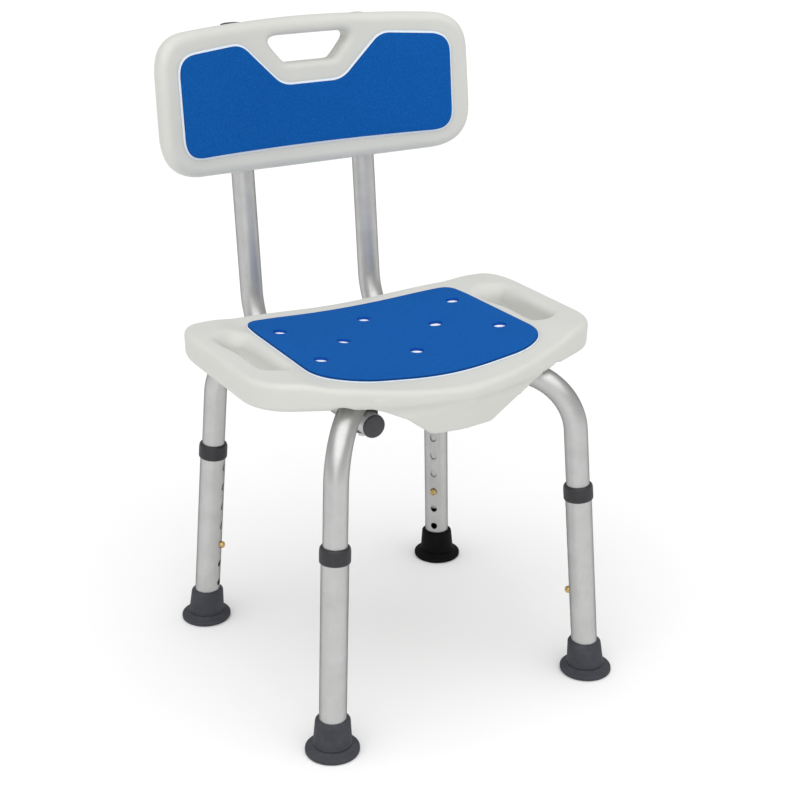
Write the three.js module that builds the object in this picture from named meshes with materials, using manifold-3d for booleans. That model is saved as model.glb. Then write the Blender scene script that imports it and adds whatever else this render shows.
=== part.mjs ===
// Shower chair: a blow-moulded seat and a curved backrest on bent aluminium
// tubes, with four height-adjustable legs held by brass snap buttons.
// Millimetres, +Z up, the front of the chair faces -Y. The origin is on the
// floor under the middle of the chair's bounding box.

import * as THREE from 'three';
import { mergeVertices } from 'three/addons/utils/BufferGeometryUtils.js';
import Module from 'manifold-3d';

const wasm = await Module();
wasm.setup();

// ---------------------------------------------------------------- dimensions
const Y_SHIFT = -19.45;          // from the centre of the four feet to the origin

// tubes
const FRAME_R = 12.7;            // leg frames and back tubes, 25.4 mm outside
const FRAME_BORE_R = 11.4;
const LEG_R = 14.3;              // telescoping lower legs, 28.6 mm outside
const LEG_BORE_R = 13.05;
const SIDES = 12;                // facets round a tube

// legs
const FOOT_XY = 160.4;           // feet stand on a square of twice this
const SPLAY = THREE.MathUtils.degToRad(4.68);
const BEND_R = 66.0;             // leg frame bend, to the tube's axis
const FRAME_Z = 349.0;           // axis of the leg frames under the seat
const INNER_END = 74.0;          // lower end of the leg frame, along the leg
const LEG_LOW = 8.0;             // lower end of the outer leg, along the leg
const LEG_TOP = 223.8;           // its upper end, inside the collar
const COLLAR_LOW = 210.2;
const COLLAR_TOP = 227.2;
const COLLAR_R = 16.0;
const BUTTON_AT = 98.9;          // snap button, along the leg
const HOLE_PITCH = 25.0;
const HOLES_BELOW = 2;           // holes under the button
const HOLES_ABOVE = 4;           // holes over it
const HOLE_R = 4.4;
const FOOT_R = 28.4;
const FOOT_H = 38.3;
const SLEEVE_R = 20.0;            // at its base
const SLEEVE_TOP_R = 18.4;

// seat
const SEAT_HALF_W = 204.0;
const RIM_TOP = 388.0;
const RIM_BOTTOM = 358.5;
const WALL = 3.0;                // moulded wall
const PAD_T = 3.4;
const PAD_PROUD = 3.0;
const DRAIN_R = 5.0;
const PAD_HOLE_R = 7.3;
const DRAINS = [[-107.5, 49], [0, 60], [107.5, 49], [-56.5, 1.5], [56.5, 1.5], [-108, -46.5], [0, -54.5], [108, -46.5]];
const GRIP_X = 163.5;
const GRIP_HALF_L = 57.0;
const GRIP_HALF_W = 11.5;

// back tubes
const BACK_X = 76.2;
const BACK_Z = 322.0;            // axis of the run under the seat
const BACK_FRONT_Y = -98.0;      // front end of that run
const BACK_BEND_R = 70.0;
const RECLINE = Math.atan(0.0982);
const BACK_REF_Y = 184.88;       // the upright axis passes here at BACK_REF_Z
const BACK_REF_Z = 375.0;
const BACK_TOP_Z = 679.0;

// backrest, in the panel's frame: x, n (rearwards from the tube axis), v (up)
const PANEL_Z = 610.0;
const PANEL_MID = 19.0;          // mid-surface in front of the tube axis at x = 0
const PANEL_CURVE = 0.00085;     // mid-surface moves forward by this * x^2
const PANEL_T = 28.0;
const HANDLE = [[-43, 56.5], [43, 56.5], [49, 50.5], [30.5, 28.5], [26, 26.5], [-26, 26.5], [-30.5, 28.5], [-49, 50.5]];

// fasteners
const BOLT_R = 3.0;
const BOLT_HOLE_R = 3.5;
const SCREW_V = [-52, 34];

// ------------------------------------------------------------------- colours
const MAT = {
  shell: new THREE.MeshStandardMaterial({ name: 'shell', color: 0xd9d8d4, roughness: 0.55, metalness: 0.0 }),
  pad: new THREE.MeshStandardMaterial({ name: 'pad', color: 0x0f52a0, roughness: 0.9, metalness: 0.0 }),
  tube: new THREE.MeshStandardMaterial({ name: 'tube', color: 0xbababb, roughness: 0.38, metalness: 0.9 }),
  grey: new THREE.MeshStandardMaterial({ name: 'grey_plastic', color: 0x3f4045, roughness: 0.6, metalness: 0.0 }),
  rubber: new THREE.MeshStandardMaterial({ name: 'rubber', color: 0x45484e, roughness: 0.8, metalness: 0.0 }),
  darkRubber: new THREE.MeshStandardMaterial({ name: 'dark_rubber', color: 0x141416, roughness: 0.8, metalness: 0.0 }),
  brass: new THREE.MeshStandardMaterial({ name: 'brass', color: 0xb08a4a, roughness: 0.35, metalness: 1.0 }),
  steel: new THREE.MeshStandardMaterial({ name: 'steel', color: 0x9a9b9c, roughness: 0.4, metalness: 1.0 }),
};

// ------------------------------------------------------------------- helpers
function clean(geometry) {
  const g = geometry.clone();
  g.deleteAttribute('normal');
  g.deleteAttribute('uv');
  return mergeVertices(g, 1e-4);
}

function solid(geometry) {
  const g = clean(geometry);
  return new wasm.Manifold(new wasm.Mesh({
    numProp: 3,
    vertProperties: new Float32Array(g.attributes.position.array),
    triVerts: new Uint32Array(g.index.array),
  }));
}

function geometryOf(manifold) {
  const m = manifold.getMesh();
  const g = new THREE.BufferGeometry();
  const pos = new Float32Array(m.numVert * 3);
  for (let i = 0; i < m.numVert; i++) for (let k = 0; k < 3; k++) pos[3 * i + k] = m.vertProperties[m.numProp * i + k];
  g.setAttribute('position', new THREE.BufferAttribute(pos, 3));
  g.setIndex(new THREE.BufferAttribute(new Uint32Array(m.triVerts), 1));
  g.computeVertexNormals();
  return g;
}

function cut(base, ...tools) {
  let m = base;
  for (const t of tools) m = m.subtract(t);
  return m;
}

function join(...parts) {
  let m = parts[0];
  for (const p of parts.slice(1)) m = m.add(p);
  return m;
}

// the largest body, without slivers left by a cut
function largest(manifold) {
  return manifold.decompose().sort((a, b) => Math.abs(b.volume()) - Math.abs(a.volume()))[0];
}

// closed solid through rings of equal length; first and last are closed by a
// fan round a centre point
function ringSolid(rings, first, last) {
  const n = rings[0].length;
  const pos = [];
  for (const r of rings) for (const p of r) pos.push(p.x, p.y, p.z);
  const a = pos.length / 3; pos.push(first.x, first.y, first.z);
  const b = pos.length / 3; pos.push(last.x, last.y, last.z);
  const idx = [];
  for (let i = 0; i < n; i++) {
    const j = (i + 1) % n;
    idx.push(a, i, j);
    for (let k = 0; k + 1 < rings.length; k++) {
      const p = k * n, q = p + n;
      idx.push(p + i, q + i, q + j, p + i, q + j, p + j);
    }
    const t = (rings.length - 1) * n;
    idx.push(b, t + j, t + i);
  }
  let vol = 0;
  const v = (i) => new THREE.Vector3(pos[3 * i], pos[3 * i + 1], pos[3 * i + 2]);
  for (let i = 0; i < idx.length; i += 3) vol += v(idx[i]).dot(v(idx[i + 1]).cross(v(idx[i + 2])));
  if (vol < 0) for (let i = 0; i < idx.length; i += 3) [idx[i + 1], idx[i + 2]] = [idx[i + 2], idx[i + 1]];
  const g = new THREE.BufferGeometry();
  g.setAttribute('position', new THREE.Float32BufferAttribute(pos, 3));
  g.setIndex(idx);
  return g;
}

// evenly spaced points on a closed smooth outline through control points,
// with corners rounded by quadratic curves of the given radius
function roundedOutline(corners, count) {
  const shape = new THREE.Shape();
  const n = corners.length;
  for (let i = 0; i < n; i++) {
    const [px, py] = corners[(i + n - 1) % n];
    const [x, y, r] = corners[i];
    const [qx, qy] = corners[(i + 1) % n];
    const a = new THREE.Vector2(px - x, py - y), b = new THREE.Vector2(qx - x, qy - y);
    const la = Math.min(r, a.length() * 0.49), lb = Math.min(r, b.length() * 0.49);
    a.normalize(); b.normalize();
    const s = new THREE.Vector2(x, y).addScaledVector(a, la);
    const e = new THREE.Vector2(x, y).addScaledVector(b, lb);
    if (i === 0) shape.moveTo(s.x, s.y); else shape.lineTo(s.x, s.y);
    shape.quadraticCurveTo(x, y, e.x, e.y);
  }
  shape.closePath();
  const pts = shape.getSpacedPoints(count * 8).slice(0, -1);
  // more points where the outline turns
  const w = pts.map((p, i) => {
    const o = pts[(i + pts.length - 1) % pts.length], q = pts[(i + 1) % pts.length];
    const t = Math.abs(Math.atan2((p.x - o.x) * (q.y - p.y) - (p.y - o.y) * (q.x - p.x), (p.x - o.x) * (q.x - p.x) + (p.y - o.y) * (q.y - p.y)));
    return 0.35 + 14 * t;
  });
  const total = w.reduce((s, x) => s + x, 0);
  const out = [];
  let acc = 0, k = 0;
  for (let i = 0; i < pts.length && out.length < count; i++) {
    if (acc >= (total * k) / count - 1e-9) { out.push([pts[i].x, pts[i].y]); k++; }
    acc += w[i];
  }
  return out;
}

function inset(outline, d) {
  const n = outline.length;
  return outline.map(([x, y], i) => {
    const [ax, ay] = outline[(i + n - 1) % n], [bx, by] = outline[(i + 1) % n];
    const t = new THREE.Vector2(bx - ax, by - ay).normalize();
    return [x - t.y * d, y + t.x * d];
  });
}

function scaleAbout(outline, [cx, cy], s) {
  return outline.map(([x, y]) => [cx + (x - cx) * s, cy + (y - cy) * s]);
}

function circleShape(r, n, phase = 0) {
  const s = new THREE.Shape();
  for (let i = 0; i < n; i++) {
    const a = phase + (i / n) * Math.PI * 2;
    if (i) s.lineTo(r * Math.cos(a), r * Math.sin(a)); else s.moveTo(r * Math.cos(a), r * Math.sin(a));
  }
  s.closePath();
  return s;
}

// a planar path given by its stations, so that straight runs take few of them
class Stations extends THREE.Curve {
  constructor(points, tangents, binormal) {
    super();
    this.points = points; this.tangents = tangents; this.binormal = binormal;
  }
  getPoint(t) { return this.points[Math.round(t * (this.points.length - 1))].clone(); }
  getPointAt(t) { return this.getPoint(t); }
  getTangentAt(t) { return this.tangents[Math.round(t * (this.points.length - 1))].clone(); }
  getSpacedPoints(n) { return Array.from({ length: n + 1 }, (_, i) => this.getPoint(i / n)); }
  computeFrenetFrames(n) {
    const tangents = [], normals = [], binormals = [];
    for (let i = 0; i <= n; i++) {
      const t = this.getTangentAt(i / n);
      tangents.push(t); binormals.push(this.binormal.clone());
      normals.push(new THREE.Vector3().crossVectors(this.binormal, t).normalize());
    }
    return { tangents, normals, binormals };
  }
}

function tubeAlong(points, tangents, binormal, rOut, rIn) {
  const path = new Stations(points, tangents, binormal);
  const shape = circleShape(rOut, SIDES);
  if (rIn) shape.holes.push(new THREE.Path(circleShape(rIn, SIDES).getPoints()));
  return new THREE.ExtrudeGeometry(shape, { steps: points.length - 1, extrudePath: path, bevelEnabled: false, curveSegments: 1 });
}

// round rod from a to b
function rod(a, b, r, n = 12) {
  const d = new THREE.Vector3().subVectors(b, a);
  const g = new THREE.CylinderGeometry(r, r, d.length(), n);
  g.rotateX(Math.PI / 2);
  const q = new THREE.Quaternion().setFromUnitVectors(new THREE.Vector3(0, 0, 1), d.clone().normalize());
  g.applyQuaternion(q);
  const m = a.clone().add(b).multiplyScalar(0.5);
  g.translate(m.x, m.y, m.z);
  return g;
}

// turned piece about +Z from [radius, height] pairs
function turned(profile, n) {
  return new THREE.LatheGeometry(profile.map(([r, z]) => new THREE.Vector2(r, z)), n).rotateX(Math.PI / 2);
}

const chair = new THREE.Group();
chair.name = 'shower_chair';
const body = new THREE.Group();
body.position.set(0, Y_SHIFT, 0);
chair.add(body);

function put(name, geometry, material, parent = body) {
  const g = geometry.index ? geometry : mergeVertices(geometry);
  const mesh = new THREE.Mesh(g, material);
  mesh.name = name;
  parent.add(mesh);
  return mesh;
}

const V = (x, y, z) => new THREE.Vector3(x, y, z);

// ----------------------------------------------------------------------- legs
const LEGS = {
  fl: { sx: -1, sy: -1 },
  fr: { sx: 1, sy: -1 },
  rl: { sx: -1, sy: 1 },
  rr: { sx: 1, sy: 1 },
};
for (const leg of Object.values(LEGS)) {
  leg.foot = V(leg.sx * FOOT_XY, leg.sy * FOOT_XY, 0);
  leg.out = leg.foot.clone().normalize();
  leg.up = V(0, 0, Math.cos(SPLAY)).addScaledVector(leg.out, -Math.sin(SPLAY));
  // local x faces the middle of the chair, square to the leg
  leg.inward = leg.out.clone().multiplyScalar(-Math.cos(SPLAY)).addScaledVector(V(0, 0, 1), -Math.sin(SPLAY));
  leg.side = new THREE.Vector3().crossVectors(leg.up, leg.inward);
  leg.at = (along, inward = 0) => leg.foot.clone().addScaledVector(leg.up, along).addScaledVector(leg.inward, inward);
  leg.group = new THREE.Group();
  leg.group.position.copy(leg.foot);
  leg.group.quaternion.setFromRotationMatrix(new THREE.Matrix4().makeBasis(leg.inward, leg.side, leg.up));
  body.add(leg.group);
}

// leg frame: one tube from a rear leg, under the seat, to the opposite front
// leg. Where the two cross, each is pressed flat to half its height.
function legFrame(legA, legB, level) {
  const pts = [], tan = [];
  const arcCentreZ = FRAME_Z - BEND_R;
  const startRho = FOOT_XY * Math.SQRT2 - INNER_END * Math.sin(SPLAY);
  const lineRho = (z) => FOOT_XY * Math.SQRT2 - z * Math.tan(SPLAY);
  const centreRho = lineRho(arcCentreZ) - BEND_R / Math.cos(SPLAY);
  const half = [[startRho, INNER_END * Math.cos(SPLAY), SPLAY + Math.PI / 2]];
  const steps = 6;
  for (let i = 0; i <= steps; i++) {
    const a = SPLAY + ((Math.PI / 2 - SPLAY) * i) / steps;
    half.push([centreRho + BEND_R * Math.cos(a), arcCentreZ + BEND_R * Math.sin(a), a + Math.PI / 2]);
  }
  for (const rho of [42, 29, 17, 0]) half.push([rho, FRAME_Z, Math.PI]);
  const outA = legA.out;
  for (const [rho, z, a] of half) {
    pts.push(outA.clone().multiplyScalar(rho).setZ(z));
    tan.push(outA.clone().multiplyScalar(Math.cos(a)).setZ(Math.sin(a)).normalize());
  }
  for (let i = half.length - 2; i >= 0; i--) {
    const [rho, z, a] = half[i];
    pts.push(outA.clone().multiplyScalar(-rho).setZ(z));
    tan.push(outA.clone().multiplyScalar(Math.cos(a)).setZ(-Math.sin(a)).normalize());
  }
  const binormal = new THREE.Vector3().crossVectors(V(0, 0, 1), outA).normalize();
  const g = tubeAlong(pts, tan, binormal, FRAME_R, FRAME_BORE_R);
  const p = g.attributes.position;
  for (let i = 0; i < p.count; i++) {
    const v = new THREE.Vector3().fromBufferAttribute(p, i);
    const rho = Math.abs(v.clone().setZ(0).dot(outA));
    if (rho < 41.9 && v.z > FRAME_Z - 14) {
      const t = THREE.MathUtils.smoothstep(rho, 17.9, 42);
      const r = Math.hypot(v.clone().setZ(0).dot(binormal), v.z - FRAME_Z);
      const outer = r > (FRAME_R + FRAME_BORE_R) / 2;
      const squash = outer ? 6.15 / FRAME_R : 5.0 / FRAME_BORE_R;
      const s = squash + (1 - squash) * t;
      p.setZ(i, FRAME_Z + (v.z - FRAME_Z) * s + level * 6.4 * (1 - t));
    }
  }
  let m = solid(g);
  for (const leg of [legA, legB]) {
    m = m.subtract(solid(rod(leg.at(BUTTON_AT, 8), leg.at(BUTTON_AT, 16), HOLE_R, 8)));
    const c = V(leg.sx * BACK_X, leg.sy * BACK_X, 0);
    m = m.subtract(solid(rod(c.clone().setZ(330), c.clone().setZ(368), BOLT_HOLE_R, 8)));
  }
  m = m.subtract(solid(rod(V(0, 0, 330), V(0, 0, 368), BOLT_HOLE_R, 8)));
  return geometryOf(m);
}
put('leg_frame_rl_fr', legFrame(LEGS.rl, LEGS.fr, 1), MAT.tube);
put('leg_frame_rr_fl', legFrame(LEGS.rr, LEGS.fl, -1), MAT.tube);

for (const [key, leg] of Object.entries(LEGS)) {
  // outer leg: open tube with its row of holes facing the middle of the chair.
  // Its facets line up with those of the leg frame inside it.
  const ring = circleShape(LEG_R, SIDES);
  ring.holes.push(new THREE.Path(circleShape(LEG_BORE_R, SIDES).getPoints()));
  const legGeo = new THREE.ExtrudeGeometry(ring, { depth: LEG_TOP - LEG_LOW, bevelEnabled: false, steps: 1, curveSegments: 1 });
  legGeo.translate(0, 0, LEG_LOW);
  let m = solid(legGeo);
  for (let i = -HOLES_BELOW; i <= HOLES_ABOVE; i++) {
    const z = BUTTON_AT + i * HOLE_PITCH;
    m = m.subtract(solid(rod(V(8, 0, z), V(18, 0, z), HOLE_R, 8)));
  }
  put(`leg_tube_${key}`, geometryOf(m), MAT.tube, leg.group);

  // collar: closes the top of the outer leg round the leg frame
  put(`collar_${key}`, collarGeometry(), MAT.grey, leg.group);

  // rubber foot: flange flat on the floor, sleeve along the leg
  const foot = turned([
    [0, 0], [FOOT_R - 1.4, 0], [FOOT_R, 1.6], [FOOT_R, 3.8], [FOOT_R - 1.6, 5.6], [FOOT_R - 4.9, 7.6],
    [SLEEVE_R, 10.4], [SLEEVE_TOP_R, FOOT_H - 3.3], [LEG_R + 0.9, FOOT_H], [0, FOOT_H],
  ], 18);
  // lean the sleeve with the leg while every level stays parallel to the floor
  const lean = -Math.tan(SPLAY);
  foot.applyMatrix4(new THREE.Matrix4().set(
    1, 0, leg.out.x * lean, leg.foot.x,
    0, 1, leg.out.y * lean, leg.foot.y,
    0, 0, 1, 0,
    0, 0, 0, 1));
  const bore = solid(tubeAlong([leg.at(LEG_LOW - 0.3), leg.at(60)], [leg.up, leg.up], leg.side, LEG_R + 0.3));
  put(`foot_${key}`, geometryOf(solid(foot).subtract(bore)), key === 'rr' ? MAT.darkRubber : MAT.rubber);

  // brass snap button, its head in the hole of the outer leg
  const button = turned([
    [0, 8.4], [4.6, 8.4], [4.6, 9.5], [3.8, 9.5], [3.8, 15.9], [3.0, 17.6], [0, 18.6],
  ], 10);
  button.rotateY(Math.PI / 2);
  button.translate(0, 0, BUTTON_AT);
  put(`snap_button_${key}`, button, MAT.brass, leg.group);

  // its leaf spring, folded inside the leg frame's tube
  const mid = [[7.7, -6], [7.7, 7], [4.6, 30], [1.6, 33.6], [-1.6, 33.6], [-4.6, 30], [-9.4, 2]];
  const th = 0.35;
  const strip = new THREE.Shape();
  const left = [], right = [];
  mid.forEach(([x, z], i) => {
    const [ax, az] = mid[Math.max(0, i - 1)], [bx, bz] = mid[Math.min(mid.length - 1, i + 1)];
    const t = new THREE.Vector2(bx - ax, bz - az).normalize();
    left.push([x - t.y * th, z + t.x * th]); right.push([x + t.y * th, z - t.x * th]);
  });
  [...left, ...right.reverse()].forEach(([x, z], i) => (i ? strip.lineTo(x, z) : strip.moveTo(x, z)));
  strip.closePath();
  const spring = new THREE.ExtrudeGeometry(strip, { depth: 6, bevelEnabled: false, steps: 1 });
  spring.translate(0, 0, -3);
  spring.rotateX(Math.PI / 2);
  spring.translate(0, 0, BUTTON_AT);
  put(`snap_spring_${key}`, spring, MAT.steel, leg.group);
}

// the collar's bores are cut with the tubes' own facets, so the gaps stay even
function collarGeometry() {
  const outer = turned([
    [0, COLLAR_LOW], [COLLAR_R - 0.7, COLLAR_LOW], [COLLAR_R, COLLAR_LOW + 1.6],
    [COLLAR_R, COLLAR_TOP - 3.2], [COLLAR_R - 0.9, COLLAR_TOP - 0.9], [COLLAR_R - 1.9, COLLAR_TOP], [0, COLLAR_TOP],
  ], 16);
  const low = new THREE.ExtrudeGeometry(circleShape(LEG_R + 0.3, SIDES), { depth: LEG_TOP + 0.3 - COLLAR_LOW + 5, bevelEnabled: false, steps: 1 });
  low.translate(0, 0, COLLAR_LOW - 5);
  const high = new THREE.ExtrudeGeometry(circleShape(FRAME_R + 0.3, SIDES), { depth: 40, bevelEnabled: false, steps: 1 });
  high.translate(0, 0, COLLAR_LOW - 5);
  return geometryOf(cut(solid(outer), solid(low), solid(high)));
}

// ----------------------------------------------------------------- back tubes
const recDir = V(0, Math.sin(RECLINE), Math.cos(RECLINE));
const arcZ = BACK_Z + BACK_BEND_R;
const arcEndZ = arcZ - BACK_BEND_R * Math.sin(RECLINE);
const arcEndY = BACK_REF_Y + Math.tan(RECLINE) * (arcEndZ - BACK_REF_Z);
const arcY = arcEndY - BACK_BEND_R * Math.cos(RECLINE);
const backTopY = BACK_REF_Y + Math.tan(RECLINE) * (BACK_TOP_Z - BACK_REF_Z);

const panelO = V(0, BACK_REF_Y + Math.tan(RECLINE) * (PANEL_Z - BACK_REF_Z), PANEL_Z);
const panelN = V(0, Math.cos(RECLINE), -Math.sin(RECLINE));
const onPanel = (x, n, v) => panelO.clone().add(V(x, 0, 0)).addScaledVector(panelN, n).addScaledVector(recDir, v);

for (const [key, s] of [['left', -1], ['right', 1]]) {
  const x = s * BACK_X;
  const pts = [V(x, BACK_FRONT_Y, BACK_Z)], tan = [V(0, 1, 0)];
  const steps = 7;
  for (let i = 0; i <= steps; i++) {
    const a = ((Math.PI / 2 - RECLINE) * i) / steps;
    pts.push(V(x, arcY + BACK_BEND_R * Math.sin(a), arcZ - BACK_BEND_R * Math.cos(a)));
    tan.push(V(0, Math.cos(a), Math.sin(a)));
  }
  pts.push(V(x, backTopY, BACK_TOP_Z)); tan.push(recDir.clone());
  let m = solid(tubeAlong(pts, tan, V(1, 0, 0), FRAME_R, FRAME_BORE_R));
  for (const y of [-BACK_X, BACK_X]) m = m.subtract(solid(rod(V(x, y, 300), V(x, y, 340), BOLT_HOLE_R, 8)));
  for (const v of SCREW_V) m = m.subtract(solid(rod(onPanel(x, -18, v), onPanel(x, 18, v), 3.0, 8)));
  put(`back_tube_${key}`, geometryOf(m), MAT.tube);

  // plug in the front end, cap in the top end
  const plug = turned([
    [0, -3.2], [11.4, -3.2], [12.4, -2.2], [12.4, -0.3], [10.6, -0.3], [10.2, 12], [0, 12],
  ], 16);
  plug.rotateX(-Math.PI / 2);
  plug.translate(x, BACK_FRONT_Y, BACK_Z);
  put(`front_plug_${key}`, plug, MAT.grey);
  const cap = turned([
    [0, 3.4], [9.4, 2.7], [12.6, 1.0], [12.6, 0.3], [10.6, 0.3], [10.2, -12], [0, -12],
  ].reverse(), 16);
  cap.rotateX(-RECLINE);
  cap.translate(x, backTopY, BACK_TOP_Z);
  put(`top_cap_${key}`, cap, MAT.grey);
}

// --------------------------------------------- saddles, bolts, inserts
const CROSSINGS = { fl: [-1, -1], fr: [1, -1], rl: [-1, 1], rr: [1, 1] };
for (const [key, [sx, sy]] of Object.entries(CROSSINGS)) {
  const cx = sx * BACK_X, cy = sy * BACK_X;
  const block = new THREE.Shape();
  [[-9.5, -12], [9.5, -12], [12, -9.5], [12, 9.5], [9.5, 12], [-9.5, 12], [-12, 9.5], [-12, -9.5]].forEach(([x, y], i) => (i ? block.lineTo(x, y) : block.moveTo(x, y)));
  block.closePath();
  const g = new THREE.ExtrudeGeometry(block, { depth: 13, bevelEnabled: false, steps: 1 });
  g.translate(cx, cy, 325.5);
  const low = solid(tubeAlong([V(cx, cy - 40, BACK_Z), V(cx, cy + 40, BACK_Z)], [V(0, 1, 0), V(0, 1, 0)], V(1, 0, 0), FRAME_R + 0.3));
  const d = V(sx, sy, 0).normalize();
  const bin = new THREE.Vector3().crossVectors(V(0, 0, 1), d);
  const high = solid(tubeAlong([V(cx, cy, FRAME_Z).addScaledVector(d, -45), V(cx, cy, FRAME_Z).addScaledVector(d, 45)], [d, d], bin, FRAME_R + 0.3));
  const hole = solid(rod(V(cx, cy, 300), V(cx, cy, 370), BOLT_HOLE_R, 8));
  put(`saddle_${key}`, geometryOf(cut(solid(g), low, high, hole)), MAT.grey);
}
const BOLTS = { ...CROSSINGS, centre: [0, 0] };
const insertTop = (sx) => (sx ? 371.4 : 368.6);   // the dish is lowest in the middle
for (const [key, [sx, sy]] of Object.entries(BOLTS)) {
  const cx = sx * BACK_X, cy = sy * BACK_X;
  const under = key === 'centre' ? FRAME_Z - 6.4 - 6.15 : BACK_Z - FRAME_R;
  const bolt = turned([
    [0, under - 4.9], [4.4, under - 4.9], [5.4, under - 3.9], [5.4, under - 1.6], [7.4, under - 1.5], [7.4, under - 0.3],
    [BOLT_R, under - 0.3], [BOLT_R, insertTop(sx) - 0.6], [0, insertTop(sx) - 0.6],
  ], 10);
  bolt.translate(cx, cy, 0);
  put(`seat_bolt_${key}`, bolt, MAT.steel);
  const insert = turned([
    [BOLT_R + 0.35, 363.0], [5.0, 363.0], [5.0, insertTop(sx)], [BOLT_R + 0.35, insertTop(sx)], [BOLT_R + 0.35, 363.0],
  ], 10);
  insert.translate(cx, cy, 0);
  put(`seat_insert_${key}`, insert, MAT.brass);
}
for (const [key, s] of [['left', -1], ['right', 1]]) {
  SCREW_V.forEach((v, i) => {
    const g = turned([
      [0, 16.4], [3.2, 16.0], [4.8, 14.6], [4.8, 13.0], [2.3, 13.0], [2.3, -28], [0, -31],
    ].reverse(), 10);
    const q = new THREE.Quaternion().setFromUnitVectors(V(0, 0, 1), panelN);
    g.applyQuaternion(q);
    const o = onPanel(s * BACK_X, 0, v);
    g.translate(o.x, o.y, o.z);
    put(`back_screw_${key}_${i ? 'upper' : 'lower'}`, g, MAT.steel);
  });
}

// ----------------------------------------------------------------------- seat
// height of the pad's upper face: the seat is dished from side to side
const DISH = [[0, 376], [28, 376.9], [56, 379], [84, 381.4], [108, 383.3], [134, 384.9], [152, 385.6]];
function dish(x) {
  const a = Math.abs(x);
  for (let i = 1; i < DISH.length; i++) {
    if (a <= DISH[i][0]) {
      const [x0, z0] = DISH[i - 1], [x1, z1] = DISH[i];
      return z0 + ((z1 - z0) * (a - x0)) / (x1 - x0);
    }
  }
  return DISH[DISH.length - 1][1];
}
function shellTop(x) {
  const a = Math.abs(x);
  const t = THREE.MathUtils.smoothstep(a, 128, 168);
  return (dish(x) - PAD_PROUD) * (1 - t) + RIM_TOP * t;
}

const seatOutline = (count) => ccw(roundedOutline([
  [0, 129, 60], [-150, 112, 20], [-SEAT_HALF_W, 108, 52], [-SEAT_HALF_W, -74, 20], [-186, -102, 18], [-70, -156, 34], [0, -165, 60],
  [70, -156, 34], [186, -102, 18], [SEAT_HALF_W, -74, 20], [SEAT_HALF_W, 108, 52], [150, 112, 20],
], count));
// keep the outline counter-clockwise
function ccw(o) {
  let a = 0;
  o.forEach(([x, y], i) => { const [p, q] = o[(i + 1) % o.length]; a += x * q - p * y; });
  return a > 0 ? o : o.slice().reverse();
}
const seatOuter = seatOutline(44), seatInner = seatOutline(28);
const centre = [0, -18];

function seatBody(wall) {
  const ring = (o, z) => o.map(([x, y]) => V(x, y, z(x, y)));
  // inside, the roof also clears the pad's recess
  const top = (x) => (wall ? Math.min(shellTop(x) - wall, dish(Math.min(Math.abs(x), 140)) - PAD_T - 0.3 - wall) : shellTop(x));
  const edge = inset(wall ? seatInner : seatOuter, wall);
  const rings = wall ? [
    ring(scaleAbout(inset(edge, 9), centre, 0.5), top),
    ring(scaleAbout(inset(edge, 9), centre, 0.8), top),
    ring(inset(edge, 7), top),
    ring(edge, (x) => top(x) - 7),
    ring(inset(edge, 0.6), () => RIM_BOTTOM + wall + 5),
    ring(inset(edge, 7), () => RIM_BOTTOM + wall),
  ] : [
    ring(scaleAbout(inset(edge, 11), centre, 0.35), top),
    ring(scaleAbout(inset(edge, 11), centre, 0.65), top),
    ring(scaleAbout(inset(edge, 11), centre, 0.84), top),
    ring(inset(edge, 10), top),
    ring(inset(edge, 3), (x) => top(x) - 1.8),
    ring(edge, (x) => top(x) - 8),
    ring(inset(edge, 0.6), () => RIM_BOTTOM + 6),
    ring(inset(edge, 9), () => RIM_BOTTOM),
  ];
  return solid(ringSolid(rings, V(centre[0], centre[1], top(0)), V(centre[0], centre[1], RIM_BOTTOM + wall)));
}

// deeper moulded blocks between the leg frames
function lobe(levels) {
  const rings = levels.map(([pts, z]) => pts.map(([x, y]) => V(x, y, z)));
  const mid = (r) => r.reduce((s, p) => s.add(p), V(0, 0, 0)).divideScalar(r.length);
  return solid(ringSolid(rings, mid(rings[0]), mid(rings[rings.length - 1])));
}
function endLobe(sy, edgeY, w) {
  // edgeY gives the distance of the seat's edge from the middle
  const P = (a, b, c, d, ym) => [[-a, edgeY(a) - d - w], [0, edgeY(0) - d - w], [a, edgeY(a) - d - w], [b, ym], [c, 34 + w], [-c, 34 + w], [-b, ym]].map(([x, y]) => [x, sy * y]);
  return lobe([
    [P(31 - w, 31 - w, 8 - w / 2, 18, 74), 320 + w],
    [P(36 - w, 36 - w, 10 - w / 2, 16, 76), 322.5 + w],
    [P(66 - w, 52 - w, 12 - w / 2, 11, 86), 345 + w * 0.5],
    [P(98 - w, 78 - w, 14 - w / 2, 7.6, 96), 360 + w * 0.5],
    [P(98 - w, 80 - w, 14 - w / 2, 9.0, 96), 366],
  ]);
}
const frontEdge = (x) => (Math.abs(x) < 70 ? 165 - (9 * Math.abs(x)) / 70 : 156 - (50 * (Math.abs(x) - 70)) / 108);
const rearEdge = (x) => 129 - (17 * Math.abs(x)) / 150;
function sideLobe(sx, w) {
  const P = (xo, xi, h) => [[xi, -8 + w], [xo, -h + w], [xo, h - w], [xi, 8 - w]].map(([x, y]) => [sx * x, y]);
  return lobe([
    [P(134 - w, 38 + w, 56), 339 + w],
    [P(138 - w, 36 + w, 64), 343 + w],
    [P(146 - w, 34 + w, 84), 360 + w * 0.5],
    [P(146 - w, 34 + w, 84), 366],
  ]);
}

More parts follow.
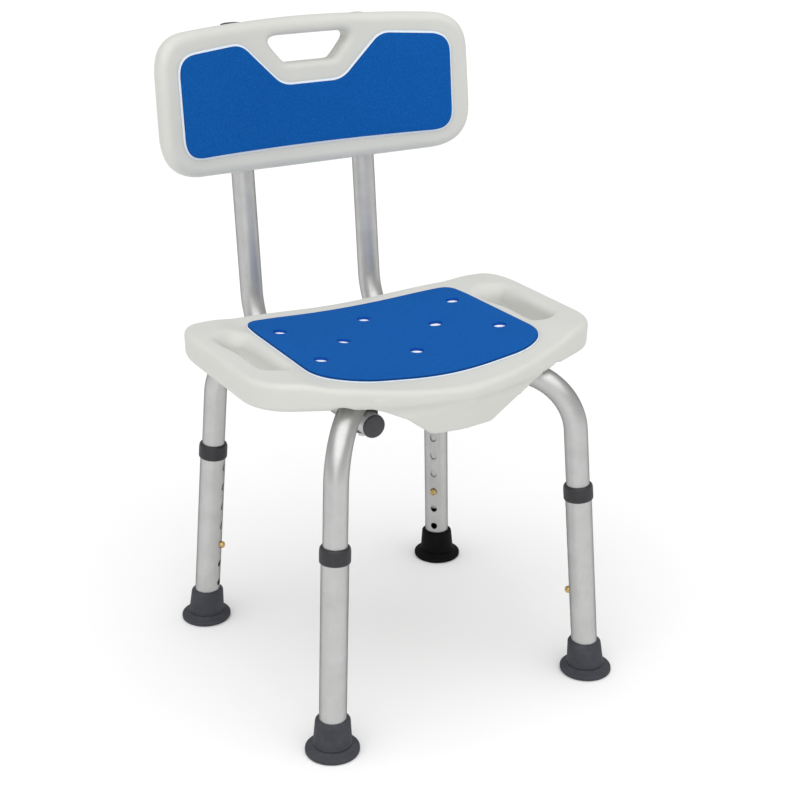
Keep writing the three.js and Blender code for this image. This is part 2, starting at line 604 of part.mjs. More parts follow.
// slots for the leg frames: round roof, straight sides
function channel(legA, r) {
  const d = legA.out.clone();
  const bin = new THREE.Vector3().crossVectors(V(0, 0, 1), d).normalize();
  const L = 240;
  const round = solid(tubeAlong([d.clone().multiplyScalar(-L).setZ(FRAME_Z), d.clone().multiplyScalar(L).setZ(FRAME_Z)], [d, d], bin, r));
  const box = new THREE.BoxGeometry(2 * L, 2 * r * Math.cos(Math.PI / SIDES) + 0.02, 80);
  box.applyMatrix4(new THREE.Matrix4().makeBasis(d, bin, V(0, 0, 1)));
  box.translate(0, 0, FRAME_Z - 40);
  return round.add(solid(box));
}

function gripHole(sx, w, z0, z1) {
  const stadium = (hw, z, extra = 0) => {
    const pts = [];
    const hl = GRIP_HALF_L + (hw - GRIP_HALF_W) * 0.9;
    for (let i = 0; i < 12; i++) {
      const a = (i / 12) * Math.PI * 2 + Math.PI / 12;
      const c = Math.cos(a), s = Math.sin(a);
      pts.push(V(sx * GRIP_X + hw * c, (hl - hw) * Math.sign(s) + hw * s + 1, z + extra));
    }
    return pts;
  };
  const rings = [stadium(GRIP_HALF_W + 3 + w, z0), stadium(GRIP_HALF_W + w, z0 + 9), stadium(GRIP_HALF_W + w, RIM_TOP - 13),
    stadium(GRIP_HALF_W + 1.6 + w, RIM_TOP - 6.5), stadium(GRIP_HALF_W + 5.4 + w, RIM_TOP - 1.2), stadium(GRIP_HALF_W + 6.6 + w, z1)];
  return solid(ringSolid(rings, V(sx * GRIP_X, 1, z0), V(sx * GRIP_X, 1, z1)));
}

const seatPadO = ccw(roundedOutline([
  [0, 108, 40], [130, 93, 16], [133.5, 60, 8], [136.5, -88, 26], [100, -119.5, 24], [0, -127.5, 60],
  [-100, -119.5, 24], [-136.5, -88, 26], [-133.5, 60, 8], [-130, 93, 16],
], 32));
const padCentre = [0, -14];
function padSheet(outline, topFn, bottomFn) {
  const ring = (s, z) => scaleAbout(outline, padCentre, s).map(([x, y]) => V(x, y, z(x)));
  const S = [0.42, 0.74];
  const rings = [...S.map((s) => ring(s, topFn)), ring(1, topFn), ring(1, bottomFn), ...S.slice().reverse().map((s) => ring(s, bottomFn))];
  return solid(ringSolid(rings, V(padCentre[0], padCentre[1], topFn(0)), V(padCentre[0], padCentre[1], bottomFn(0))));
}
const drains = (r, z0, z1, n = 10) => DRAINS.map(([x, y]) => solid(rod(V(x, y, z0), V(x, y, z1), r, n)));

{
  const legRL = LEGS.rl, legRR = LEGS.rr;
  let outer = join(seatBody(0), endLobe(-1, frontEdge, 0), endLobe(1, rearEdge, 0), sideLobe(1, 0), sideLobe(-1, 0));
  let inner = join(seatBody(WALL), endLobe(-1, frontEdge, WALL), endLobe(1, rearEdge, WALL), sideLobe(1, WALL), sideLobe(-1, WALL));
  // round pocket over the pressed crossing of the leg frames
  const pocket = (wall) => solid(rod(V(0, 0, 310), V(0, 0, FRAME_Z + FRAME_R + 0.4 + wall), 43 + wall, 16));
  inner = cut(inner, pocket(WALL), channel(legRL, FRAME_R + 0.4 + WALL), channel(legRR, FRAME_R + 0.4 + WALL), gripHole(1, WALL, 330, 400), gripHole(-1, WALL, 330, 400),
    ...drains(DRAIN_R + WALL, 300, 400, 8));
  const recess = padSheet(inset(seatPadO, -0.4), () => 410, (x) => dish(x) - PAD_T - 0.3);
  for (const [sx, sy] of Object.values(BOLTS)) inner = inner.subtract(solid(rod(V(sx * BACK_X, sy * BACK_X, 330), V(sx * BACK_X, sy * BACK_X, 380), 9, 8)));
  let seat = cut(outer, inner, recess, pocket(0), channel(legRL, FRAME_R + 0.4), channel(legRR, FRAME_R + 0.4),
    gripHole(1, 0, 352, 388), gripHole(-1, 0, 352, 388), ...drains(DRAIN_R, 300, 400));
  for (const [sx, sy] of Object.values(BOLTS)) seat = seat.subtract(solid(rod(V(sx * BACK_X, sy * BACK_X, 355), V(sx * BACK_X, sy * BACK_X, insertTop(sx) + 0.4), 5.4, 10)));
  // blow pin opening in the underside
  seat = seat.subtract(solid(rod(V(96, 0, 330), V(96, 0, 352), 3.5, 8)));
  put('seat_shell', geometryOf(largest(seat)), MAT.shell);
  const pad = cut(padSheet(seatPadO, dish, (x) => dish(x) - PAD_T), ...drains(PAD_HOLE_R, 300, 400));
  put('seat_pad', geometryOf(pad), MAT.pad);
}

// ------------------------------------------------------------------- backrest
const backOutline = (count) => ccw(roundedOutline([
  [0, 75.5, 60], [110, 72, 50], [189, 67, 40], [191, -84, 48], [60, -88, 60], [0, -88.5, 30], [-60, -88, 60], [-191, -84, 48], [-189, 67, 40], [-110, 72, 50],
], count));
const backOuter = backOutline(40), backInner = backOutline(26);
const backC = [0, -6];
const mid = (x) => -(PANEL_MID + PANEL_CURVE * x * x);
function backBody(w) {
  const e = inset(w ? backInner : backOuter, w);
  const h = PANEL_T / 2 - w;
  // inside, the front wall also clears the pad's recess
  const hf = w ? h - (PAD_T + 0.3 - PAD_PROUD) : h;
  const ring = (o, n) => o.map(([x, v]) => onPanel(x, mid(x) + n, v));
  const rings = w ? [
    ring(scaleAbout(inset(e, 9), backC, 0.5), -hf), ring(inset(e, 9), -hf), ring(e, -h * 0.4),
    ring(e, h * 0.4), ring(inset(e, 9), h), ring(scaleAbout(inset(e, 9), backC, 0.5), h),
  ] : [
    ring(scaleAbout(inset(e, 12), backC, 0.35), -h), ring(scaleAbout(inset(e, 12), backC, 0.7), -h), ring(inset(e, 11), -h),
    ring(inset(e, 3.2), -h + 3.4), ring(e, -h * 0.3), ring(e, h * 0.3),
    ring(inset(e, 3.2), h - 3.4), ring(inset(e, 11), h), ring(scaleAbout(inset(e, 12), backC, 0.7), h), ring(scaleAbout(inset(e, 12), backC, 0.35), h),
  ];
  return solid(ringSolid(rings, onPanel(0, mid(0) - hf, backC[1]), onPanel(0, mid(0) + h, backC[1])));
}
function handleHole(w, n0, n1) {
  const o = ccw(roundedOutline(HANDLE.map(([x, v]) => [x, v, 9]), 16));
  const ring = (d, n) => inset(o, -d - w).map(([x, v]) => onPanel(x, n, v));
  const f = -(PANEL_MID + PANEL_T / 2), r = -(PANEL_MID - PANEL_T / 2);
  const rings = [ring(6, n0), ring(4.4, f - 0.5), ring(0, f + 8), ring(0, r - 8), ring(4.4, r + 0.5), ring(6, n1)];
  return solid(ringSolid(rings, onPanel(0, n0, 42), onPanel(0, n1, 42)));
}
const backPadO = ccw(roundedOutline([
  [-163.5, 44, 22], [-163.5, -61.5, 24], [163.5, -61.5, 24], [163.5, 44, 22], [84, 50.5, 14], [36, 3.2, 12], [-36, 3.2, 12], [-84, 50.5, 14],
], 38));
const backPadC = [0, -44];
function backSheet(outline, nf, nr) {
  const ring = (s, n) => scaleAbout(outline, backPadC, s).map(([x, v]) => onPanel(x, mid(x) + n, v));
  const S = [0.33, 0.67];
  const rings = [...S.map((s) => ring(s, nf)), ring(1, nf), ring(1, nr), ...S.slice().reverse().map((s) => ring(s, nr))];
  return solid(ringSolid(rings, onPanel(0, mid(0) + nf, backPadC[1]), onPanel(0, mid(0) + nr, backPadC[1])));
}
{
  const tube = (s, r) => {
    const a = onPanel(s * BACK_X, 0, -130), b = onPanel(s * BACK_X, 0, 130);
    return solid(tubeAlong([a, b], [recDir, recDir], V(1, 0, 0), r));
  };
  const F = -PANEL_T / 2;
  const recess = backSheet(inset(backPadO, -0.4), F - 20, F - PAD_PROUD + PAD_T + 0.3);
  let inner = cut(backBody(WALL), handleHole(WALL, -60, 20), tube(-1, FRAME_R + 0.4 + WALL), tube(1, FRAME_R + 0.4 + WALL));
  for (const s of [-1, 1]) for (const v of SCREW_V) inner = inner.subtract(solid(rod(onPanel(s * BACK_X, -60, v), onPanel(s * BACK_X, 20, v), 6, 10)));
  let shell = cut(backBody(0), inner, handleHole(0, -46, 8), tube(-1, FRAME_R + 0.4), tube(1, FRAME_R + 0.4), recess);
  for (const s of [-1, 1]) for (const v of SCREW_V) shell = shell.subtract(solid(rod(onPanel(s * BACK_X, -31.6, v), onPanel(s * BACK_X, 20, v), 2.75, 12)));
  // blow pin opening low in the rear face
  shell = shell.subtract(solid(rod(onPanel(0, -14, -72), onPanel(0, 4, -72), 3.5, 8)));
  put('backrest_shell', geometryOf(largest(shell)), MAT.shell);
  put('back_pad', geometryOf(backSheet(backPadO, F - PAD_PROUD, F - PAD_PROUD + PAD_T)), MAT.pad);
}

export default chair;
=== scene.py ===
import math

import bpy
import numpy as np
from mathutils import Matrix, Vector
from mathutils.geometry import delaunay_2d_cdt


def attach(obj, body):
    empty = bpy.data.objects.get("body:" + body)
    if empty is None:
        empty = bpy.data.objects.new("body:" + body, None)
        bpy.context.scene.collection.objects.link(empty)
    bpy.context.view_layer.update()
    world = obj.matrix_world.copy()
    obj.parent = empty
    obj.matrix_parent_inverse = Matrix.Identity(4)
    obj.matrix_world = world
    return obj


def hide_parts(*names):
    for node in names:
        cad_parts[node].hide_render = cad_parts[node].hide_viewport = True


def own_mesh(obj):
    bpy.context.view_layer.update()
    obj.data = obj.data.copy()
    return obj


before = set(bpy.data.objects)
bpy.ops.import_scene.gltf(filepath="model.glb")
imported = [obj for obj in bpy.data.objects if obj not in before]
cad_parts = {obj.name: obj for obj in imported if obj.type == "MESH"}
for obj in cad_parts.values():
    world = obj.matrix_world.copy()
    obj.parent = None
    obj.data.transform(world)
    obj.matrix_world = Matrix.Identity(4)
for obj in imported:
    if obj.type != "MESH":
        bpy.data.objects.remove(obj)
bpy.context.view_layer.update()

# Shower chair, visual model. Lengths below are in millimetres from the middle
# of the four feet; build() turns them into metres in the row frame.
Y_SHIFT = -19.45

FRAME_R, FRAME_BORE = 12.7, 11.4
LEG_R, LEG_BORE = 14.3, 13.05
FOOT_XY = 160.4
SPLAY = math.radians(4.68)
BEND_R = 66.0
FRAME_Z = 349.0
INNER_END = 74.0
LEG_LOW, LEG_TOP = 8.0, 223.8
BUTTON_AT, HOLE_PITCH, HOLE_R = 98.9, 25.0, 4.4

RIM_TOP, RIM_BOTTOM = 388.0, 358.5
PAD_T, PAD_PROUD = 3.4, 3.0
DRAIN_R, PAD_HOLE_R = 5.0, 7.3
DRAINS = [(-107.5, 49), (0, 60), (107.5, 49), (-56.5, 1.5), (56.5, 1.5), (-108, -46.5), (0, -54.5), (108, -46.5)]
GRIP_X, GRIP_HALF_L, GRIP_HALF_W = 163.5, 57.0, 11.5

BACK_X, BACK_Z, BACK_FRONT_Y = 76.2, 322.0, -98.0
BACK_BEND_R = 70.0
RECLINE = math.atan(0.0982)
BACK_REF_Y, BACK_REF_Z, BACK_TOP_Z = 184.88, 375.0, 679.0
PANEL_Z, PANEL_MID, PANEL_CURVE, PANEL_T = 610.0, 19.0, 0.00085, 28.0
HANDLE = [(-45, 56), (45, 56), (50.5, 49.8), (32, 28), (28, 26), (-28, 26), (-32, 28), (-50.5, 49.8)]
SCREW_V = (-52, 34)


# ------------------------------------------------------------------ materials
class Nodes:
    """Small helper around a material's node tree."""

    def __init__(self, name):
        self.mat = bpy.data.materials.new(name)
        self.mat.use_nodes = True
        self.tree = self.mat.node_tree
        self.bsdf = self.tree.nodes["Principled BSDF"]
        self.coord = self.tree.nodes.new("ShaderNodeTexCoord")

    def new(self, kind, **values):
        n = self.tree.nodes.new(kind)
        for k, v in values.items():
            if hasattr(n, k):
                setattr(n, k, v)
            else:
                n.inputs[k].default_value = v
        return n

    def link(self, a, b):
        self.tree.links.new(a, b)

    def mapped(self, scale=(1, 1, 1)):
        m = self.new("ShaderNodeMapping")
        m.inputs["Scale"].default_value = scale
        self.link(self.coord.outputs["Object"], m.inputs["Vector"])
        return m.outputs["Vector"]

    def noise(self, scale, detail=2.0, rough=0.5, stretch=(1, 1, 1), distortion=0.0):
        n = self.new("ShaderNodeTexNoise")
        n.inputs["Scale"].default_value = scale
        n.inputs["Detail"].default_value = detail
        n.inputs["Roughness"].default_value = rough
        n.inputs["Distortion"].default_value = distortion
        self.link(self.mapped(stretch), n.inputs["Vector"])
        return n.outputs["Fac"]

    def voronoi(self, scale, feature="F1", stretch=(1, 1, 1)):
        n = self.new("ShaderNodeTexVoronoi")
        n.feature = feature
        n.inputs["Scale"].default_value = scale
        self.link(self.mapped(stretch), n.inputs["Vector"])
        return n.outputs["Distance"]

    def ramp(self, fac, stops):
        r = self.new("ShaderNodeValToRGB")
        e = r.color_ramp.elements
        while len(e) < len(stops):
            e.new(0.5)
        for el, (p, c) in zip(e, stops):
            el.position = p
            el.color = (*c, 1) if len(c) == 3 else c
        self.link(fac, r.inputs["Fac"])
        return r.outputs["Color"]

    def maths(self, op, a, b=None, c=None):
        n = self.new("ShaderNodeMath")
        n.operation = op
        for i, v in enumerate((a, b, c)):
            if v is None:
                continue
            if isinstance(v, (int, float)):
                n.inputs[i].default_value = v
            else:
                self.link(v, n.inputs[i])
        return n.outputs[0]

    def span(self, fac, lo, hi, a=0.3, b=0.7):
        n = self.new("ShaderNodeMapRange")
        n.inputs["From Min"].default_value = a
        n.inputs["From Max"].default_value = b
        n.inputs["To Min"].default_value = lo
        n.inputs["To Max"].default_value = hi
        self.link(fac, n.inputs["Value"])
        return n.outputs["Result"]

    def bump(self, height, distance, strength=1.0, under=None):
        b = self.new("ShaderNodeBump")
        b.inputs["Strength"].default_value = strength
        b.inputs["Distance"].default_value = distance
        self.link(height, b.inputs["Height"])
        if under is not None:
            self.link(under, b.inputs["Normal"])
        return b.outputs["Normal"]

    def set(self, socket, value):
        s = self.bsdf.inputs[socket]
        if isinstance(value, (int, float, tuple)):
            s.default_value = value
        else:
            self.link(value, s)


def linear(r, g, b):
    def f(c):
        c /= 255.0
        return c / 12.92 if c <= 0.04045 else ((c + 0.055) / 1.055) ** 2.4

    return (f(r), f(g), f(b))


def shade(c, k):
    return tuple(min(1.0, x * k) for x in c)


def moulded_plastic(name, base):
    """Blow-moulded polyethylene: satin, fine leathery grain, slow waves."""
    m = Nodes(name)
    cloud = m.noise(9.0, 3.0, 0.55)
    m.set("Base Color", m.ramp(cloud, [(0.3, shade(base, 0.965)), (0.7, shade(base, 1.02))]))
    m.set("Roughness", m.span(m.noise(420.0, 3.0, 0.6), 0.44, 0.58))
    m.set("IOR", 1.5)
    m.set("Specular IOR Level", 0.45)
    m.set("Subsurface Weight", 0.08)
    m.set("Subsurface Radius", (1.0, 0.98, 0.95))
    m.set("Subsurface Scale", 0.007)
    wave = m.bump(m.noise(24.0, 2.0, 0.4), 0.0009, 0.35)
    grain = m.bump(m.noise(900.0, 4.0, 0.65), 0.00012, 0.55, wave)
    m.set("Normal", m.bump(m.voronoi(1500.0), 0.00005, 0.5, grain))
    return m.mat


def foam(name, dark, colour, light, grain=1.0):
    """Closed-cell foam sheet: fine open grain with small speckles."""
    m = Nodes(name)
    fine = m.noise(560.0 * grain, 4.0, 0.8)
    tiny = m.noise(1500.0 * grain, 2.0, 0.6)
    patch = m.noise(10.0, 2.0, 0.5)
    tone = m.maths("ADD", m.maths("MULTIPLY", fine, 0.62), m.maths("ADD", m.maths("MULTIPLY", tiny, 0.30), m.maths("MULTIPLY", patch, 0.08)))
    m.set("Base Color", m.ramp(tone, [(0.30, dark), (0.50, colour), (0.72, light)]))
    m.set("Roughness", m.span(fine, 0.80, 0.98))
    m.set("Specular IOR Level", 0.10)
    cells = m.bump(m.voronoi(1500.0 * grain), 0.0003, 0.5)
    m.set("Normal", m.bump(fine, 0.0005, 0.55, m.bump(m.noise(70.0, 2.0, 0.5), 0.0005, 0.25, cells)))
    return m.mat


def anodised(name="anodised_tube", tint=(0.545, 0.545, 0.54), lo=0.34, hi=0.46):
    """Satin anodised tube: drawn lines too fine to count and faint handling marks."""
    m = Nodes(name)
    cloud = m.noise(38.0, 4.0, 0.6)
    m.set("Base Color", m.ramp(cloud, [(0.3, shade(tint, 0.93)), (0.7, shade(tint, 1.05))]))
    m.set("Metallic", 1.0)
    m.set("Specular Tint", (0.14, 0.14, 0.15, 1.0))
    m.set("Roughness", m.maths("ADD", m.span(m.noise(700.0, 3.0, 0.6, (1, 1, 0.06)), lo, hi), m.span(m.noise(90.0, 4.0, 0.7), -0.03, 0.05)))
    lines = m.bump(m.noise(2600.0, 2.0, 0.5, (1, 1, 0.02)), 0.00003, 0.35)
    m.set("Normal", m.bump(m.noise(420.0, 4.0, 0.7), 0.00003, 0.3, lines))
    return m.mat


def hard_plastic(name, colour, rough=(0.48, 0.66), grain=1400.0):
    m = Nodes(name)
    m.set("Base Color", m.ramp(m.noise(55.0, 4.0, 0.6), [(0.3, shade(colour, 0.84)), (0.7, shade(colour, 1.12))]))
    m.set("Roughness", m.span(m.noise(500.0, 3.0, 0.6), rough[0], rough[1]))
    m.set("IOR", 1.5)
    m.set("Normal", m.bump(m.noise(grain, 4.0, 0.7), 0.00008, 0.6))
    return m.mat


def rubber(name, colour, specular=0.35):
    m = Nodes(name)
    dust = m.noise(70.0, 5.0, 0.65)
    m.set("Base Color", m.ramp(dust, [(0.28, shade(colour, 0.8)), (0.55, colour), (0.78, shade(colour, 1.35))]))
    m.set("Roughness", m.span(m.noise(650.0, 4.0, 0.65), 0.62, 0.86))
    m.set("Specular IOR Level", specular)
    m.set("Normal", m.bump(m.noise(1100.0, 4.0, 0.7), 0.00012, 0.6, m.bump(m.noise(45.0, 2.0, 0.5), 0.0004, 0.25)))
    return m.mat


def metal(name, tint, rough, scale=500.0):
    m = Nodes(name)
    m.set("Base Color", m.ramp(m.noise(120.0, 4.0, 0.6), [(0.3, shade(tint, 0.82)), (0.7, shade(tint, 1.1))]))
    m.set("Metallic", 1.0)
    m.set("Roughness", m.span(m.noise(scale, 3.0, 0.6), rough - 0.07, rough + 0.10))
    m.set("Normal", m.bump(m.noise(scale * 2, 3.0, 0.6), 0.00004, 0.4))
    return m.mat


SHELL = moulded_plastic("moulded_shell", linear(208, 208.5, 203))
# a much whiter, bluer copy of the shell for the faces round the drain holes: painted light standing for the holes'
# lit white walls
SHELL_DRAIN_PAINTED_LIGHT = moulded_plastic("moulded_shell_painted_light", linear(244, 247, 252))
PAD = foam("foam_pad", linear(4, 67, 140), linear(9, 86, 163), linear(26, 107, 188))
# a darker copy of the foam for the pad's side wall: painted shade
PAD_SIDE_PAINTED_SHADE = foam("foam_side_painted_shade", linear(4, 44, 100), linear(8, 62, 128), linear(20, 84, 156), 1.3)
PAD_CUT = foam("foam_cut", linear(8, 62, 146), linear(14, 80, 174), linear(28, 100, 194), 1.3)
# pale fringe round the foot of the pad edge: a painted light line along the edge
PAD_EDGE_PAINTED_LIGHT = foam("foam_pale_fringe_painted_light", linear(206, 222, 240), linear(226, 237, 248), linear(238, 245, 251), 1.3)
TUBE = anodised()
# a much darker metal than the tube's outside for the tubes' insides: painted shade inside the tubes
BORE_PAINTED_SHADE = metal("tube_bore_painted_shade", (0.16, 0.16, 0.16), 0.6)
GREY = hard_plastic("grey_plastic", linear(62, 62, 67))
COLLAR = hard_plastic("collar_plastic", linear(40, 39, 43), (0.42, 0.60))
RUBBER = rubber("rubber_foot", linear(60, 62, 68))
# near-black colour, used only for the rear-right foot
REAR_RIGHT_FOOT_NEAR_BLACK = rubber("dark_rubber_foot", linear(9, 9, 10), 0.12)
BRASS = metal("brass_polished", (0.60, 0.42, 0.17), 0.24)
STEEL = metal("zinc_plated_steel", (0.52, 0.52, 0.54), 0.34)


# -------------------------------------------------------------------- helpers
def build(name, verts, faces, material, body, replaces=(), sharp=38.0, face_material=None):
    v = (np.asarray(verts, float) + np.array([0.0, Y_SHIFT, 0.0])) * 0.001
    mesh = bpy.data.meshes.new(name)
    mesh.from_pydata(v.tolist(), [], [tuple(int(i) for i in f) for f in faces])
    mesh.validate()
    mesh.update()
    mats = material if isinstance(material, (list, tuple)) else [material]
    for m in mats:
        mesh.materials.append(m)
    mesh.polygons.foreach_set("use_smooth", [True] * len(mesh.polygons))
    if face_material is not None:
        mesh.polygons.foreach_set("material_index", list(face_material))
    if sharp:
        mesh.set_sharp_from_angle(angle=math.radians(sharp))
    obj = bpy.data.objects.new(name, mesh)
    bpy.context.scene.collection.objects.link(obj)
    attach(obj, body)
    if replaces:
        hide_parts(*replaces)
    return obj


def outward(verts, faces):
    """Faces in the order that makes the closed mesh's volume positive."""
    v = np.asarray(verts, float)
    vol = 0.0
    for f in faces:
        a = v[f[0]]
        for i in range(1, len(f) - 1):
            vol += np.dot(a, np.cross(v[f[i]], v[f[i + 1]]))
    return faces if vol > 0 else [tuple(reversed(f)) for f in faces]


def lathe(profile, n, cap_first=True, cap_last=True, phase=0.0):
    """Closed turned mesh about +Z from (radius, height) pairs. A radius of 0 is a point."""
    verts, rows = [], []
    for r, z in profile:
        if r < 1e-6:
            rows.append([len(verts)])
            verts.append((0, 0, z))
        else:
            rows.append(list(range(len(verts), len(verts) + n)))
            for i in range(n):
                a = 2 * math.pi * i / n + phase
                verts.append((r * math.cos(a), r * math.sin(a), z))
    faces = []
    for a, b in zip(rows, rows[1:]):
        for i in range(n):
            j = (i + 1) % n
            if len(a) == 1 and len(b) == 1:
                continue
            if len(a) == 1:
                faces.append((a[0], b[i], b[j]))
            elif len(b) == 1:
                faces.append((a[i], b[0], a[j]))
            else:
                faces.append((a[i], b[i], b[j], a[j]))
    return np.array(verts, float), outward(verts, faces)


def ring_lathe(profile, n, phase=0.0):
    """Turned ring: the profile is a closed loop of (radius, height) pairs."""
    verts = []
    for r, z in profile:
        for i in range(n):
            a = 2 * math.pi * i / n + phase
            verts.append((r * math.cos(a), r * math.sin(a), z))
    k = len(profile)
    faces = []
    for p in range(k):
        q = (p + 1) % k
        for i in range(n):
            j = (i + 1) % n
            faces.append((p * n + i, q * n + i, q * n + j, p * n + j))
    return np.array(verts, float), outward(verts, faces)


def rounded_profile(points, radii, steps=5):
    """Open profile with its inner corners rounded."""
    out = [points[0]]
    for i in range(1, len(points) - 1):
        p, c, q = (np.array(points[k], float) for k in (i - 1, i, i + 1))
        r = radii[i] if isinstance(radii, (list, tuple)) else radii
        a, b = p - c, q - c
        la, lb = np.linalg.norm(a), np.linalg.norm(b)
        d = min(r, la * 0.49, lb * 0.49)
        if d < 1e-4:
            out.append(tuple(c))
            continue
        s, e = c + a / la * d, c + b / lb * d
        for k in range(steps + 1):
            t = k / steps
            out.append(tuple((1 - t) ** 2 * s + 2 * t * (1 - t) * c + t * t * e))
    out.append(points[-1])
    return out


def frame_at(origin, x, y, z):
    return np.array(origin, float), np.stack([np.array(x, float), np.array(y, float), np.array(z, float)])


def placed(verts, fr):
    o, axes = fr
    return np.asarray(verts, float) @ axes + o


def combine(*parts):
    verts, faces, mats, n = [], [], [], 0
    for k, (v, f) in enumerate(parts):
        verts.append(np.asarray(v, float))
        faces += [tuple(i + n for i in t) for t in f]
        mats += [k] * len(f)
        n += len(v)
    return np.vstack(verts), faces, mats


def sweep(points, tangents, binormal, r_out, r_in, n=56, shape=None):
    """Hollow tube along a planar path, with its ends' edges eased."""
    b = np.array(binormal, float)
    b /= np.linalg.norm(b)
    P, T = np.array(points, float), np.array(tangents, float)
    T /= np.linalg.norm(T, axis=1)[:, None]
    e = 0.35
    P = np.vstack([P[0], P[0] + T[0] * e, P[1:-1], P[-1] - T[-1] * e, P[-1]])
    T = np.vstack([T[0], T[0], T[1:-1], T[-1], T[-1]])
    m = len(P)
    ro = np.full(m, r_out)
    ro[0] -= e
    ro[-1] -= e
    a = np.arange(n) * 2 * math.pi / n
    N = np.cross(b, T)

    def rings(r):
        v = P[:, None, :] + r[:, None, None] * (np.cos(a)[None, :, None] * N[:, None, :] + np.sin(a)[None, :, None] * b[None, None, :])
        return v

    vo, vi = rings(ro), rings(np.full(m, r_in))
    if shape is not None:
        vo, vi = shape(vo, r_out), shape(vi, r_in)
    verts = np.vstack([vo.reshape(-1, 3), vi.reshape(-1, 3)])
    faces, mats = [], []
    off = m * n
    for k in range(m - 1):
        for i in range(n):
            j = (i + 1) % n
            faces.append((k * n + i, (k + 1) * n + i, (k + 1) * n + j, k * n + j))
            mats.append(0)
            faces.append((off + k * n + i, off + k * n + j, off + (k + 1) * n + j, off + (k + 1) * n + i))
            mats.append(1)
    for i in range(n):
        j = (i + 1) % n
        faces.append((i, j, off + j, off + i))
        mats.append(0)
        t = (m - 1) * n
        faces.append((t + i, off + t + i, off + t + j, t + j))
        mats.append(0)
    return verts, outward(verts, faces), mats


def polygon_distance(px, py, poly):
    """Signed distance to a closed polygon, negative inside."""
    poly = np.asarray(poly, float)
    best = np.full(px.shape, 1e18)
    sign = np.ones(px.shape)
    x0, y0 = poly[-1]
    for x1, y1 in poly:
        ex, ey = x1 - x0, y1 - y0
        wx, wy = px - x0, py - y0
        t = np.clip((wx * ex + wy * ey) / (ex * ex + ey * ey + 1e-12), 0, 1)
        bx, by = wx - ex * t, wy - ey * t
        np.minimum(best, bx * bx + by * by, out=best)
        c1, c2, c3 = py >= y0, py < y1, ex * wy > ey * wx
        flip = (c1 & c2 & c3) | (~c1 & ~c2 & ~c3)
        sign = np.where(flip, -sign, sign)
        x0, y0 = x1, y1
    return sign * np.sqrt(best)


def rounded_outline(corners, step=2.0):
    """Dense closed outline with each corner rounded by a quadratic curve."""
    out = []
    n = len(corners)
    c = [np.array(p[:2], float) for p in corners]
    r = [p[2] for p in corners]
    for i in range(n):
        a, b = c[i - 1] - c[i], c[(i + 1) % n] - c[i]
        la, lb = min(r[i], np.linalg.norm(a) * 0.49), min(r[i], np.linalg.norm(b) * 0.49)
        s, e = c[i] + a / np.linalg.norm(a) * la, c[i] + b / np.linalg.norm(b) * lb
        k = max(4, int((la + lb) / step))
        for q in range(k + 1):
            t = q / k
            out.append((1 - t) ** 2 * s + 2 * t * (1 - t) * c[i] + t * t * e)
    P = np.array(out)
    # even spacing
    Q = np.vstack([P, P[:1]])
    d = np.r_[0, np.cumsum(np.linalg.norm(np.diff(Q, axis=0), axis=1))]
    m = int(round(d[-1] / step))
    s = np.linspace(0, d[-1], m, endpoint=False)
    P = np.stack([np.interp(s, d, Q[:, 0]), np.interp(s, d, Q[:, 1])], 1)
    area = np.sum(P[:, 0] * np.roll(P[:, 1], -1) - np.roll(P[:, 0], -1) * P[:, 1])
    return P if area > 0 else P[::-1].copy()


def inset(P, d):
    """Outline moved inwards by d (counter-clockwise outline)."""
    t = np.roll(P, -1, 0) - np.roll(P, 1, 0)
    t /= np.linalg.norm(t, axis=1)[:, None]
    return P + d * np.stack([-t[:, 1], t[:, 0]], 1)


def smoothstep(x, a, b):
    t = np.clip((x - a) / (b - a), 0, 1)
    return t * t * (3 - 2 * t)


def join_smooth(a, b, k):
    h = np.maximum(k - np.abs(a - b), 0) / k
    return np.minimum(a, b) - h * h * k * 0.25


def meet_round(a, b, r):
    """Intersection with a rounded edge."""
    return np.minimum(-r, np.maximum(a, b)) + np.sqrt(np.maximum(a + r, 0) ** 2 + np.maximum(b + r, 0) ** 2)


def cut_round(a, b, r):
    """a without b, with a rounded edge."""
    return meet_round(a, -b, r)


